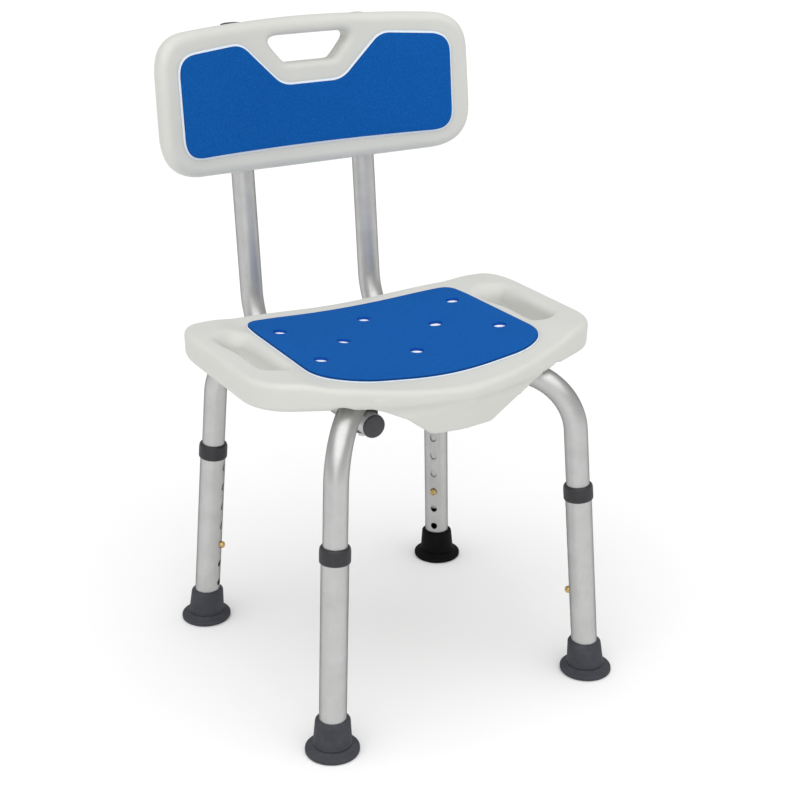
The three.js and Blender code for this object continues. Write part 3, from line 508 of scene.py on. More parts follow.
def surface(field, low, high, step):
    """Quad mesh on the zero level of field(x, y, z), moved exactly onto it."""
    ax = [np.arange(l, h + step, step) for l, h in zip(low, high)]
    nx, ny, nz = (len(a) for a in ax)
    F = field(ax[0][:, None, None], ax[1][None, :, None], ax[2][None, None, :]).astype(np.float32)
    F = np.broadcast_to(F, (nx, ny, nz)).copy()
    F[[0, -1]] = 5
    F[:, [0, -1]] = 5
    F[:, :, [0, -1]] = 5
    ins = F < 0
    shape = (nx - 1, ny - 1, nz - 1)
    count = np.zeros(shape, np.int8)
    for i in (0, 1):
        for j in (0, 1):
            for k in (0, 1):
                count += ins[i:nx - 1 + i, j:ny - 1 + j, k:nz - 1 + k]
    active = (count > 0) & (count < 8)
    idx = np.full(shape, -1, np.int64)
    cells = np.argwhere(active)
    idx[active] = np.arange(len(cells))
    I, J, K = cells.T
    total = np.zeros((len(cells), 3))
    hits = np.zeros(len(cells))
    for axis in range(3):
        others = [q for q in range(3) if q != axis]
        for u in (0, 1):
            for w in (0, 1):
                o = [0, 0, 0]
                o[others[0]], o[others[1]] = u, w
                a = F[I + o[0], J + o[1], K + o[2]]
                o2 = list(o)
                o2[axis] = 1
                b = F[I + o2[0], J + o2[1], K + o2[2]]
                cross = (a < 0) != (b < 0)
                t = np.where(cross, a / np.where(cross, a - b, 1), 0)
                p = np.zeros((len(cells), 3))
                p[:, others[0]], p[:, others[1]], p[:, axis] = u, w, t
                total += p * cross[:, None]
                hits += cross
    verts = (cells + total / hits[:, None]) * step + np.array([a[0] for a in ax])
    faces = []
    for axis in range(3):
        u, w = [(1, 2), (2, 0), (0, 1)][axis]
        sl0, sl1 = [slice(None)] * 3, [slice(None)] * 3
        sl0[axis], sl1[axis] = slice(0, -1), slice(1, None)
        a, b = ins[tuple(sl0)], ins[tuple(sl1)]
        for flip, mask in ((False, a & ~b), (True, ~a & b)):
            g = np.argwhere(mask)
            keep = (g[:, u] > 0) & (g[:, w] > 0) & (g[:, u] < (nx, ny, nz)[u] - 1) & (g[:, w] < (nx, ny, nz)[w] - 1)
            g = g[keep]
            q = []
            for du, dw in ((-1, -1), (0, -1), (0, 0), (-1, 0)):
                c = g.copy()
                c[:, u] += du
                c[:, w] += dw
                q.append(idx[c[:, 0], c[:, 1], c[:, 2]])
            q = np.stack(q, 1)
            faces.append(q[:, ::-1] if flip else q)
    faces = np.vstack(faces)
    faces = faces[(faces >= 0).all(1)]

    def at(p):
        return field(p[:, 0], p[:, 1], p[:, 2])

    h = 0.15
    for _ in range(2):
        f = at(verts)
        g = np.stack([(at(verts + np.eye(3)[k] * h) - f) / h for k in range(3)], 1)
        n2 = np.maximum((g * g).sum(1), 0.05)
        move = -(f / n2)[:, None] * g
        length = np.linalg.norm(move, axis=1)
        move *= np.minimum(1, 0.6 * step / np.maximum(length, 1e-9))[:, None]
        verts = verts + move
    return verts, faces


# ------------------------------------------------------------------ leg frame
class Leg:
    pass


LEGS = {}
for key, (sx, sy) in {"fl": (-1, -1), "fr": (1, -1), "rl": (-1, 1), "rr": (1, 1)}.items():
    leg = Leg()
    leg.sx, leg.sy = sx, sy
    leg.foot = np.array([sx * FOOT_XY, sy * FOOT_XY, 0.0])
    leg.out = leg.foot / np.linalg.norm(leg.foot)
    leg.up = np.array([0, 0, math.cos(SPLAY)]) - math.sin(SPLAY) * leg.out
    leg.inward = -math.cos(SPLAY) * leg.out - np.array([0, 0, math.sin(SPLAY)])
    leg.side = np.cross(leg.up, leg.inward)
    leg.fr = frame_at(leg.foot, leg.inward, leg.side, leg.up)
    LEGS[key] = leg


def leg_frame(name, a, b, level):
    root2 = math.sqrt(2)
    arc_z = FRAME_Z - BEND_R
    start_rho = FOOT_XY * root2 - INNER_END * math.sin(SPLAY)
    centre_rho = FOOT_XY * root2 - arc_z * math.tan(SPLAY) - BEND_R / math.cos(SPLAY)
    half = [(start_rho, INNER_END * math.cos(SPLAY), SPLAY + math.pi / 2)]
    z_first = arc_z + BEND_R * math.sin(SPLAY)
    rho_first = centre_rho + BEND_R * math.cos(SPLAY)
    for t in (0.25, 0.5, 0.75):
        half.append((start_rho + (rho_first - start_rho) * t, half[0][1] + (z_first - half[0][1]) * t, SPLAY + math.pi / 2))
    steps = 26
    for i in range(steps + 1):
        w = SPLAY + (math.pi / 2 - SPLAY) * i / steps
        half.append((centre_rho + BEND_R * math.cos(w), arc_z + BEND_R * math.sin(w), w + math.pi / 2))
    for rho in (90, 66, 54, 47, 42, 38, 34, 30, 26, 22, 18, 13, 6, 0):
        half.append((rho, FRAME_Z, math.pi))
    out = a.out
    pts, tan = [], []
    for rho, z, w in half:
        pts.append(out * rho + np.array([0, 0, z]))
        tan.append(out * math.cos(w) + np.array([0, 0, math.sin(w)]))
    for rho, z, w in reversed(half[:-1]):
        pts.append(-out * rho + np.array([0, 0, z]))
        tan.append(out * math.cos(w) - np.array([0, 0, math.sin(w)]))
    bi = np.cross([0, 0, 1], out)

    def shape(v, r):
        rho = np.abs(v @ np.array([out[0], out[1], 0]))
        t = smoothstep(rho, 15.0, 44.0)
        pressed = (6.15 if r > 12 else 4.95) / r
        s = pressed + (1 - pressed) * t
        wide = 1.22 - 0.22 * t
        near = (rho < 44.0) & (v[..., 2] > FRAME_Z - 14)
        side = v @ bi
        w = v.copy()
        w[..., 2] = np.where(near, FRAME_Z + (v[..., 2] - FRAME_Z) * s + level * 6.4 * (1 - t), v[..., 2])
        return w + np.where(near, side * (wide - 1), 0)[..., None] * bi

    verts, faces, mats = sweep(pts, tan, bi, FRAME_R, FRAME_BORE, 56, shape)
    return build(name, verts, faces, [TUBE, BORE_PAINTED_SHADE], "frame", (name.replace("vis_", ""),), 50, mats)


leg_frame("vis_leg_frame_rl_fr", LEGS["rl"], LEGS["fr"], 1)
leg_frame("vis_leg_frame_rr_fl", LEGS["rr"], LEGS["fl"], -1)


def holed_tube(z0, z1, centres, r_hole, r_out, r_in, around=60, m=40):
    """Straight tube about Z with round holes through its +X wall, rims eased."""
    pitch = HOLE_PITCH
    half_u = 9.0
    A = half_u / r_out                      # half-angle of the strip with the holes
    per = m // 8                            # patch boundary: 8*per points
    nseg = 2 * per
    lows = min(centres) - pitch / 2
    highs = max(centres) + pitch / 2
    verts, faces, mats = [], [], []

    def ring_square(k):
        """k of m: point on the patch's border in (u, z), from -1 to 1."""
        side, t = divmod(k, nseg)
        s = -1 + 2 * t / nseg
        return [(1, s), (-s, 1), (-1, -s), (s, -1)][side]

    def wall(radius, inner):
        """Cylinder skin with holes; returns the loops of vertex numbers at each hole."""
        index = {}
        scale = 1.0

        def vertex(theta, z):
            key = (round(theta, 5), round(z, 4))
            if key not in index:
                index[key] = len(verts)
                verts.append((radius * math.cos(theta), radius * math.sin(theta), z))
            return index[key]

        loops = []
        rim = r_hole if inner else r_hole + 0.35
        for c in centres:
            rows = []
            for t in (0.0, 0.12, 0.34, 0.64, 1.0):
                row = []
                for k in range(m):
                    sq = ring_square(k)
                    ang = math.atan2(sq[1] * pitch / 2, sq[0] * half_u)
                    circ = (rim * math.cos(ang), rim * math.sin(ang))
                    box = (sq[0] * half_u, sq[1] * pitch / 2)
                    u = circ[0] * (1 - t) + box[0] * t
                    z = circ[1] * (1 - t) + box[1] * t
                    row.append(vertex(u / r_out, c + z))
                rows.append(row)
            for a, b in zip(rows, rows[1:]):
                for k in range(m):
                    j = (k + 1) % m
                    f = (a[k], b[k], b[j], a[j])
                    faces.append(f[::-1] if inner else f)
                    mats.append(1 if inner else 0)
            loops.append(rows[0])
        # plain strips over and under the holes, and the rest of the tube
        zs_mid = [lows + pitch * i / nseg for i in range(nseg * len(centres) + 1)]
        zs_low = [z0, z0 + (0.3 if not inner else 0.0)] if not inner else [z0]
        zs_low = [z for z in zs_low] + [z0 + (lows - z0) * t for t in (0.5, 1.0)]
        zs_high = [highs, highs + (z1 - highs) * 0.33, highs + (z1 - highs) * 0.66] + ([z1 - 0.3, z1] if not inner else [z1])
        strip = [-A + 2 * A * i / nseg for i in range(nseg + 1)]
        rest = [A + (2 * math.pi - 2 * A) * i / (around - nseg) for i in range(around - nseg + 1)]

        def patch(thetas, zs):
            for a, b in zip(thetas, thetas[1:]):
                for c, d in zip(zs, zs[1:]):
                    q = [vertex(wrap(a), c), vertex(wrap(b), c), vertex(wrap(b), d), vertex(wrap(a), d)]
                    faces.append(tuple(q[::-1]) if inner else tuple(q))
                    mats.append(1 if inner else 0)

        def wrap(t):
            return t - 2 * math.pi if t > math.pi + 1e-9 else t

        patch(strip, zs_low)
        patch(strip, zs_high)
        patch(rest, zs_low[:-1] + zs_mid + zs_high[1:])
        ends = []
        for z in (z0, z1):
            ends.append([vertex(wrap(t), z) for t in strip[:-1] + rest[:-1]])
        return loops, ends

    lo, eo = wall(r_out, False)
    li, ei = wall(r_in, True)
    # hole walls, with an eased outer rim
    for a, b in zip(lo, li):
        mid = []
        for k in range(m):
            va, vb = np.array(verts[a[k]]), np.array(verts[b[k]])
            mid.append(len(verts))
            t = va * 0.72 + vb * 0.28
            y, z = vb[1], vb[2]
            verts.append((math.sqrt(max((r_out - 0.35) ** 2 - y * y, 0)), y, z))
        for k in range(m):
            j = (k + 1) % m
            faces.append((a[j], mid[j], mid[k], a[k])[::-1])
            mats.append(0)
            faces.append((mid[j], b[j], b[k], mid[k])[::-1])
            mats.append(0)
    for e, (a, b) in enumerate(zip(eo, ei)):
        n = len(a)
        for k in range(n):
            j = (k + 1) % n
            f = (a[k], a[j], b[j], b[k])
            faces.append(f[::-1] if e == 0 else f)
            mats.append(0)
    return np.array(verts, float), faces, mats


HOLES = [BUTTON_AT + i * HOLE_PITCH for i in range(-2, 5)]
tube_v, tube_f, tube_m = holed_tube(LEG_LOW, LEG_TOP, HOLES, HOLE_R, LEG_R, LEG_BORE)
for key, leg in LEGS.items():
    build(f"vis_leg_tube_{key}", placed(tube_v, leg.fr), tube_f, [TUBE, BORE_PAINTED_SHADE], f"leg_{key}", (f"leg_tube_{key}",), 50, tube_m)

# collar: grey ring with a rolled top lip and fine ribs round it
collar_profile = [(FRAME_R + 0.25, 227.0), (FRAME_R + 0.25, 224.2), (LEG_R + 0.05, 224.0), (LEG_R + 0.05, 210.5), (15.0, 210.2)]
outer = [(15.5, 210.35), (15.9, 210.9), (16.0, 211.6)]
z = 212.3
while z < 221.6:
    outer += [(16.0, z), (16.06, z + 0.25), (16.06, z + 0.75), (15.86, z + 0.95), (15.86, z + 1.1)]
    z += 1.3
outer += [(16.0, 222.4), (15.95, 223.8), (15.7, 225.1), (15.2, 226.2), (14.5, 226.95), (13.9, 227.2), (13.3, 227.25)]
collar_v, collar_f = ring_lathe(collar_profile + outer, 64)
for key, leg in LEGS.items():
    build(f"vis_collar_{key}", placed(collar_v, leg.fr), collar_f, COLLAR, f"leg_{key}", (f"collar_{key}",), 60)


# rubber feet: wide flange on the floor, sleeve up the leg
def foot_mesh(leg):
    profile = rounded_profile([
        (0, 0), (11.0, 0), (11.4, 1.0), (14.6, 1.0), (15.0, 0), (18.0, 0), (18.4, 1.0), (21.6, 1.0), (22.0, 0), (27.0, 0),
        (28.4, 1.2), (28.4, 4.7), (27.7, 5.5), (24.6, 6.4), (21.6, 8.0), (20.7, 8.9), (19.5, 8.9), (19.4, 9.9), (20.5, 10.5), (20.2, 12.6), (18.45, 34.6), (18.2, 35.7),
        (15.2, 38.3), (LEG_R + 0.2, 38.3), (LEG_R + 0.2, 9.2), (0, 9.2)],
        [0, 0.3, 0.3, 0.3, 0.3, 0.3, 0.3, 0.3, 0.3, 1.0, 1.2, 0.6, 0.6, 1.5, 1.5, 0.4, 0.3, 0.3, 0.5, 1.5, 1.0, 0.8, 0.6, 0.3, 0.8, 0], 4)
    v, f = lathe(profile, 64)
    # the sleeve leans with the leg, and every level stays parallel to the floor
    lean = -math.tan(SPLAY)
    t = np.clip(v[:, 2:3], 0, None)
    v = v + t * np.array([[leg.out[0] * lean, leg.out[1] * lean, 0]])
    return v + leg.foot, f


for key, leg in LEGS.items():
    v, f = foot_mesh(leg)
    # the rear-right foot alone is drawn near black, unlike the other three
    dark = key == "rr"
    build(f"vis_foot_{key}", v, f, REAR_RIGHT_FOOT_NEAR_BLACK if dark else RUBBER, f"leg_{key}", (f"foot_{key}",), 55)

# snap button with a domed head
button_profile = rounded_profile([(0, 8.4), (4.6, 8.4), (4.6, 9.5), (4.1, 9.5), (4.1, 15.6), (3.6, 17.8), (2.0, 19.0), (1.0, 19.05), (0, 18.7)], [0, 0.3, 0.2, 0.1, 0.8, 1.2, 0.7, 0.4, 0], 5)
bv, bf = lathe(button_profile, 40)
bv = bv[:, [2, 1, 0]] * np.array([1, -1, 1])     # about +X, facing inwards
for key, leg in LEGS.items():
    o = leg.foot + leg.up * BUTTON_AT
    build(f"vis_snap_button_{key}", placed(bv, frame_at(o, leg.inward, leg.side, leg.up)), bf, BRASS, f"button_{key}", (f"snap_button_{key}",), 50)

# folded leaf spring inside the tube; it closes against the far wall as its button goes in
leaf = np.array(rounded_profile([(7.7, -6), (7.7, 7), (4.6, 30), (1.6, 33.6), (-1.6, 33.6), (-4.6, 30), (-9.4, 2)], [0, 8, 3, 1.4, 1.4, 3, 0], 5))
turn = np.gradient(leaf, axis=0)
turn = turn / np.linalg.norm(turn, axis=1)[:, None]
half = np.stack([-turn[:, 1], turn[:, 0]], 1) * 0.35
ring = [np.stack([q[:, 0], np.full(len(q), w), q[:, 1]], 1) for q, w in ((leaf + half, -3.0), (leaf + half, 3.0), (leaf - half, 3.0), (leaf - half, -3.0))]
spring_v = np.stack(ring, 1).reshape(-1, 3)
spring_f = [(4 * i + k, 4 * i + (k + 1) % 4, 4 * i + 4 + (k + 1) % 4, 4 * i + 4 + k) for i in range(len(leaf) - 1) for k in range(4)]
spring_f += [(3, 2, 1, 0), tuple(4 * (len(leaf) - 1) + k for k in range(4))]
for key, leg in LEGS.items():
    o = leg.foot + leg.up * BUTTON_AT
    sv = placed(spring_v, frame_at(o, leg.inward, leg.side, leg.up))
    spring = build(f"vis_snap_spring_{key}", sv, outward(sv, spring_f), STEEL, "frame", (f"snap_spring_{key}",), 30)
    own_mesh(spring)

# ----------------------------------------------------------------- back tubes
rec = np.array([0, math.sin(RECLINE), math.cos(RECLINE)])
arc_z = BACK_Z + BACK_BEND_R
arc_end_z = arc_z - BACK_BEND_R * math.sin(RECLINE)
arc_end_y = BACK_REF_Y + math.tan(RECLINE) * (arc_end_z - BACK_REF_Z)
arc_y = arc_end_y - BACK_BEND_R * math.cos(RECLINE)
top_y = BACK_REF_Y + math.tan(RECLINE) * (BACK_TOP_Z - BACK_REF_Z)
panel_o = np.array([0, BACK_REF_Y + math.tan(RECLINE) * (PANEL_Z - BACK_REF_Z), PANEL_Z])
panel_n = np.array([0, math.cos(RECLINE), -math.sin(RECLINE)])


def on_panel(x, n, v):
    x, n, v = np.broadcast_arrays(np.asarray(x, float), np.asarray(n, float), np.asarray(v, float))
    return panel_o + x[..., None] * np.array([1.0, 0, 0]) + n[..., None] * panel_n + v[..., None] * rec


for side, s in (("left", -1), ("right", 1)):
    x = s * BACK_X
    pts = [(x, BACK_FRONT_Y + (arc_y - BACK_FRONT_Y) * t, BACK_Z) for t in (0, 0.33, 0.66)]
    tan = [(0, 1, 0)] * 3
    for i in range(27):
        a = (math.pi / 2 - RECLINE) * i / 26
        pts.append((x, arc_y + BACK_BEND_R * math.sin(a), arc_z - BACK_BEND_R * math.cos(a)))
        tan.append((0, math.cos(a), math.sin(a)))
    end = np.array([x, top_y, BACK_TOP_Z])
    start = np.array(pts[-1])
    for t in (0.25, 0.5, 0.75, 1.0):
        pts.append(tuple(start + (end - start) * t))
        tan.append(tuple(rec))
    v, f, m = sweep(pts, tan, (1, 0, 0), FRAME_R, FRAME_BORE, 56)
    build(f"vis_back_tube_{side}", v, f, [TUBE, BORE_PAINTED_SHADE], "frame", (f"back_tube_{side}",), 50, m)

    # plug in the front end: a domed disc
    prof = rounded_profile([(0, 2.9), (6.0, 2.85), (11.4, 2.7), (12.3, 1.8), (12.3, 0.25), (10.7, 0.25), (10.5, -12), (0, -12)],
                           [0, 0.8, 0.8, 0.5, 0.3, 0.2, 0.6, 0], 4)
    v, f = lathe(prof, 48)
    fr = frame_at((x, BACK_FRONT_Y, BACK_Z), (1, 0, 0), (0, 0, 1), (0, -1, 0))
    build(f"vis_front_plug_{side}", placed(v, fr), outward(placed(v, fr), f), GREY, "frame", (f"front_plug_{side}",), 50)

    prof = rounded_profile([(0, 2.6), (5.0, 2.55), (9.6, 2.1), (12.65, 1.1), (12.65, 0.25), (10.7, 0.25), (10.5, -12), (0, -12)],
                           [0, 1.5, 2.5, 0.8, 0.2, 0.2, 0.6, 0], 4)
    v, f = lathe(prof, 48)
    fr = frame_at((x, top_y, BACK_TOP_Z), (1, 0, 0), tuple(np.cross(rec, (1, 0, 0))), tuple(rec))
    build(f"vis_top_cap_{side}", placed(v, fr), outward(placed(v, fr), f), GREY, "frame", (f"top_cap_{side}",), 50)


# ----------------------------------------------------------- saddles and bolts
def saddle(cx, cy, sx, sy):
    poly = rounded_outline([(-12, -12, 3.5), (12, -12, 3.5), (12, 12, 3.5), (-12, 12, 3.5)], 1.0)
    d = np.array([sx, sy]) / math.sqrt(2)

    def field(x, y, z):
        d2 = polygon_distance(*np.broadcast_arrays(x, y), poly) if np.ndim(x) > 1 else polygon_distance(x, y, poly)
        plate = meet_round(d2, np.maximum(325.5 - z, z - 338.5), 0.9)
        low = np.sqrt(x * x + (z - BACK_Z) ** 2) - (FRAME_R + 0.12)
        across = -x * d[1] + y * d[0]
        high = np.sqrt(across * across + (z - FRAME_Z) ** 2) - (FRAME_R + 0.12)
        f = cut_round(cut_round(plate, low, 0.7), high, 0.7)
        return f

    v, f = surface(field, (-13.4, -13.4, 323.9), (13.4, 13.4, 340.1), 0.7)
    return v + np.array([cx, cy, 0]), f


def bolt(cx, cy, under, top):
    """Hex-flange bolt from below, with a washer against the tube."""
    head = rounded_profile([(0, under - 4.9), (4.0, under - 4.9), (5.5, under - 4.3), (5.5, under - 1.7)], [0, 0.5, 0.5, 0], 3)
    hv, hf = lathe([*head, (0, under - 1.7)], 6)
    washer, wf = lathe(rounded_profile([(0, under - 1.9), (6.6, under - 1.9), (7.4, under - 1.3), (7.4, under - 0.3), (BOLT, under - 0.3), (BOLT, top), (0, top)], [0, 0.4, 0.4, 0.2, 0.1, 0.3, 0], 3), 40)
    v, f, _ = combine((hv, hf), (washer, wf))
    return v + np.array([cx, cy, 0]), f


BOLT = 3.0
crossings = {"fl": (-1, -1), "fr": (1, -1), "rl": (-1, 1), "rr": (1, 1)}
for key, (sx, sy) in crossings.items():
    v, f = saddle(sx * BACK_X, sy * BACK_X, sx, sy)
    build(f"vis_saddle_{key}", v, f, GREY, "frame", (f"saddle_{key}",), 60)
for key, (sx, sy) in {**crossings, "centre": (0, 0)}.items():
    under = FRAME_Z - 6.4 - 6.15 if key == "centre" else BACK_Z - FRAME_R
    v, f = bolt(sx * BACK_X, sy * BACK_X, under, (371.4 if sx else 368.6) - 0.6)
    build(f"vis_seat_bolt_{key}", v, f, STEEL, "frame", (f"seat_bolt_{key}",), 35)

# cross-recessed screws behind the back tubes
for side, s in (("left", -1), ("right", 1)):
    for name, vv in (("lower", SCREW_V[0]), ("upper", SCREW_V[1])):
        prof = rounded_profile([(0, 16.2), (1.5, 16.3), (3.4, 15.9), (4.8, 14.4), (4.8, 13.0), (2.3, 13.0), (2.3, -28), (0, -31)], [0, 0.6, 1.0, 0.7, 0.2, 0.2, 0.8, 0], 4)
        v, f = lathe(prof, 48)
        # recess pressed into the head
        ang = np.arctan2(v[:, 1], v[:, 0])
        rr = np.hypot(v[:, 0], v[:, 1])
        cross = np.minimum(np.abs(v[:, 0]), np.abs(v[:, 1]))
        dip = (v[:, 2] > 15.0) & (cross < 0.62) & (rr < 2.6)
        v[dip, 2] -= 1.3
        fr = frame_at(on_panel(s * BACK_X, 0, vv), (1, 0, 0), tuple(np.cross(panel_n, (1, 0, 0))), tuple(panel_n))
        build(f"vis_back_screw_{side}_{name}", placed(v, fr), outward(placed(v, fr), f), STEEL, "frame", (f"back_screw_{side}_{name}",), 35)

# ----------------------------------------------------------------------- seat
DISH_X = np.array([0, 28, 56, 84, 108, 134, 152.0])
DISH_Z = np.array([376, 376.9, 379, 381.4, 383.3, 384.9, 385.6])
_a = np.stack([(DISH_X / 150) ** k for k in (0, 2, 4, 6)], 1)
DISH_C = np.linalg.lstsq(_a, DISH_Z, rcond=None)[0]


def dish(x):
    t = (np.minimum(np.abs(x), 156.0) / 150) ** 2
    return DISH_C[0] + t * (DISH_C[1] + t * (DISH_C[2] + t * DISH_C[3]))


def shell_top(x):
    t = smoothstep(np.abs(x), 128, 168)
    return (dish(x) - PAD_PROUD) * (1 - t) + RIM_TOP * t


SEAT = rounded_outline([(0, 129, 60), (-150, 112, 20), (-204, 108, 52), (-204, -74, 20), (-186, -102, 18), (-70, -156, 34), (0, -165, 60),
                        (70, -156, 34), (186, -102, 18), (204, -74, 20), (204, 108, 52), (150, 112, 20)], 4.0)
SEAT_PAD = rounded_outline([(0, 108, 40), (130, 93, 16), (133.5, 60, 8), (136.5, -88, 26), (100, -119.5, 24), (0, -127.5, 60),
                            (-100, -119.5, 24), (-136.5, -88, 26), (-133.5, 60, 8), (-130, 93, 16)], 2.0)


def edge_front(x):
    a = np.abs(x)
    return np.where(a < 70, 165 - 9 * a / 70, 156 - 50 * (a - 70) / 108)


def edge_rear(x):
    return 129 - 17 * np.abs(x) / 150


def convex(points, x, y):
    """Distance to a convex polygon whose corners may change with height."""
    d = None
    cx = sum(p[0] for p in points) / len(points)
    cy = sum(p[1] for p in points) / len(points)
    for (x0, y0), (x1, y1) in zip(points, points[1:] + points[:1]):
        ex, ey = x1 - x0, y1 - y0
        L = np.sqrt(ex * ex + ey * ey)
        nx, ny = ey / L, -ex / L
        flip = np.where(nx * (cx - x0) + ny * (cy - y0) > 0, -1.0, 1.0)
        e = flip * (nx * (x - x0) + ny * (y - y0))
        d = e if d is None else meet_round(d, e, 3.0)
    return d


def end_lobe(x, y, z, edge):
    """y is counted outwards from the middle."""
    lv = np.array([320, 322.5, 345, 360, 366.0])
    a = np.interp(z, lv, [31, 36, 66, 98, 98])
    b = np.interp(z, lv, [31, 36, 52, 78, 80])
    c = np.interp(z, lv, [8, 10, 12, 14, 14])
    d = np.interp(z, lv, [17, 14.6, 8.0, 1.8, 0.8])
    ym = np.interp(z, lv, [74, 76, 86, 96, 96])
    pts = [(-a, edge(a) - d), (0 * a, edge(0 * a) - d), (a, edge(a) - d), (b, ym), (c, 34 + 0 * a), (-c, 34 + 0 * a), (-b, ym)]
    side = convex(pts, x, y) * 0.8
    return meet_round(side, 320.0 - z, 4.0)


def side_lobe(x, y, z):
    lv = np.array([339, 343, 360, 366.0])
    xo = np.interp(z, lv, [134, 138, 146, 146])
    xi = np.interp(z, lv, [38, 36, 34, 34])
    h = np.interp(z, lv, [56, 64, 84, 84])
    side = convex([(xi, -8 + 0 * xi), (xo, -h), (xo, h), (xi, 8 + 0 * xi)], np.abs(x), y) * 0.8
    return meet_round(side, 339.0 - z, 4.0)


def stadium(x, y, hw, hl):
    """Slot along y."""
    q = np.maximum(np.abs(y) - (hl - hw), 0)
    return np.sqrt(x * x + q * q) - hw


_cache = {}


def plan(name, poly, x, y):
    """Outline distance; on the grid it is worked out once."""
    if np.ndim(x) == 3:
        key = (name, x.shape, y.shape)
        if key not in _cache:
            X, Y = np.broadcast_arrays(x, y)
            _cache[key] = polygon_distance(X.copy(), Y.copy(), poly)
        return _cache[key]
    return polygon_distance(x, y, poly)


def seat_field(x, y, z):
    d2 = plan("seat", SEAT, x, y)
    lip = 2.6 * smoothstep(y, 84, 112) * (1 - smoothstep(np.abs(x), 128, 168))
    top = shell_top(x) + lip
    side = d2 + 0.03 * (RIM_TOP - z)
    f = meet_round(meet_round(side, (z - top) * 0.99, 6.5), RIM_BOTTOM - z, 6.0)
    lobes = np.minimum(end_lobe(x, -y, z, edge_front), end_lobe(x, y, z, edge_rear))
    lobes = np.minimum(lobes, side_lobe(x, y, z))
    lobes = np.maximum(lobes, z - 368.0)
    f = join_smooth(f, lobes, 5.0)
    for sgn in (1, -1):
        s = (x - sgn * y) / math.sqrt(2)
        up = np.maximum(z - FRAME_Z, 0)
        f = cut_round(f, np.sqrt(s * s + up * up) - (FRAME_R + 0.5), 2.6)
    pocket = np.maximum(np.sqrt(x * x + y * y) - 43.0, z - (FRAME_Z + FRAME_R + 0.4))
    f = cut_round(f, pocket, 2.6)
    pad2 = plan("seat_pad", SEAT_PAD, x, y)
    f = cut_round(f, np.maximum(pad2 - 0.35, (dish(x) - PAD_T - 0.05) - z), 0.4)
    grip = stadium(np.abs(x) - GRIP_X, y - 1, GRIP_HALF_W, GRIP_HALF_L)
    soft = 13.0 - 4.5 * smoothstep(np.abs(x) - GRIP_X, -9.0, 9.0) + 7.0 * smoothstep(y, -6.0, 44.0)
    f = cut_round(f, grip, soft)
    for dx, dy in DRAINS:
        f = cut_round(f, np.sqrt((x - dx) ** 2 + (y - dy) ** 2) - DRAIN_R, 1.9)
    vent = np.maximum(np.sqrt((x - 96) ** 2 + y * y) - 3.5, z - 347.0)
    return cut_round(f, vent, 0.8)


STEP = 1.85
v, f = surface(seat_field, (-208, -170, 316), (208, 134, 390), STEP)
print("seat shell", len(v), len(f))
# faces round the drain holes, down to 12 mm under the pad, take the whiter copy of the shell: painted light in the
# holes
centre = np.array([np.asarray(v)[list(q)].mean(0) for q in f])
near = np.min([np.hypot(centre[:, 0] - dx, centre[:, 1] - dy) for dx, dy in DRAINS], 0)
painted_light_faces = (near < 8.6) & (centre[:, 2] > dish(centre[:, 0]) - 12.0)
build("vis_seat_shell", v, f, [SHELL, SHELL_DRAIN_PAINTED_LIGHT], "frame", ("seat_shell",), 0, [int(q) for q in painted_light_faces])


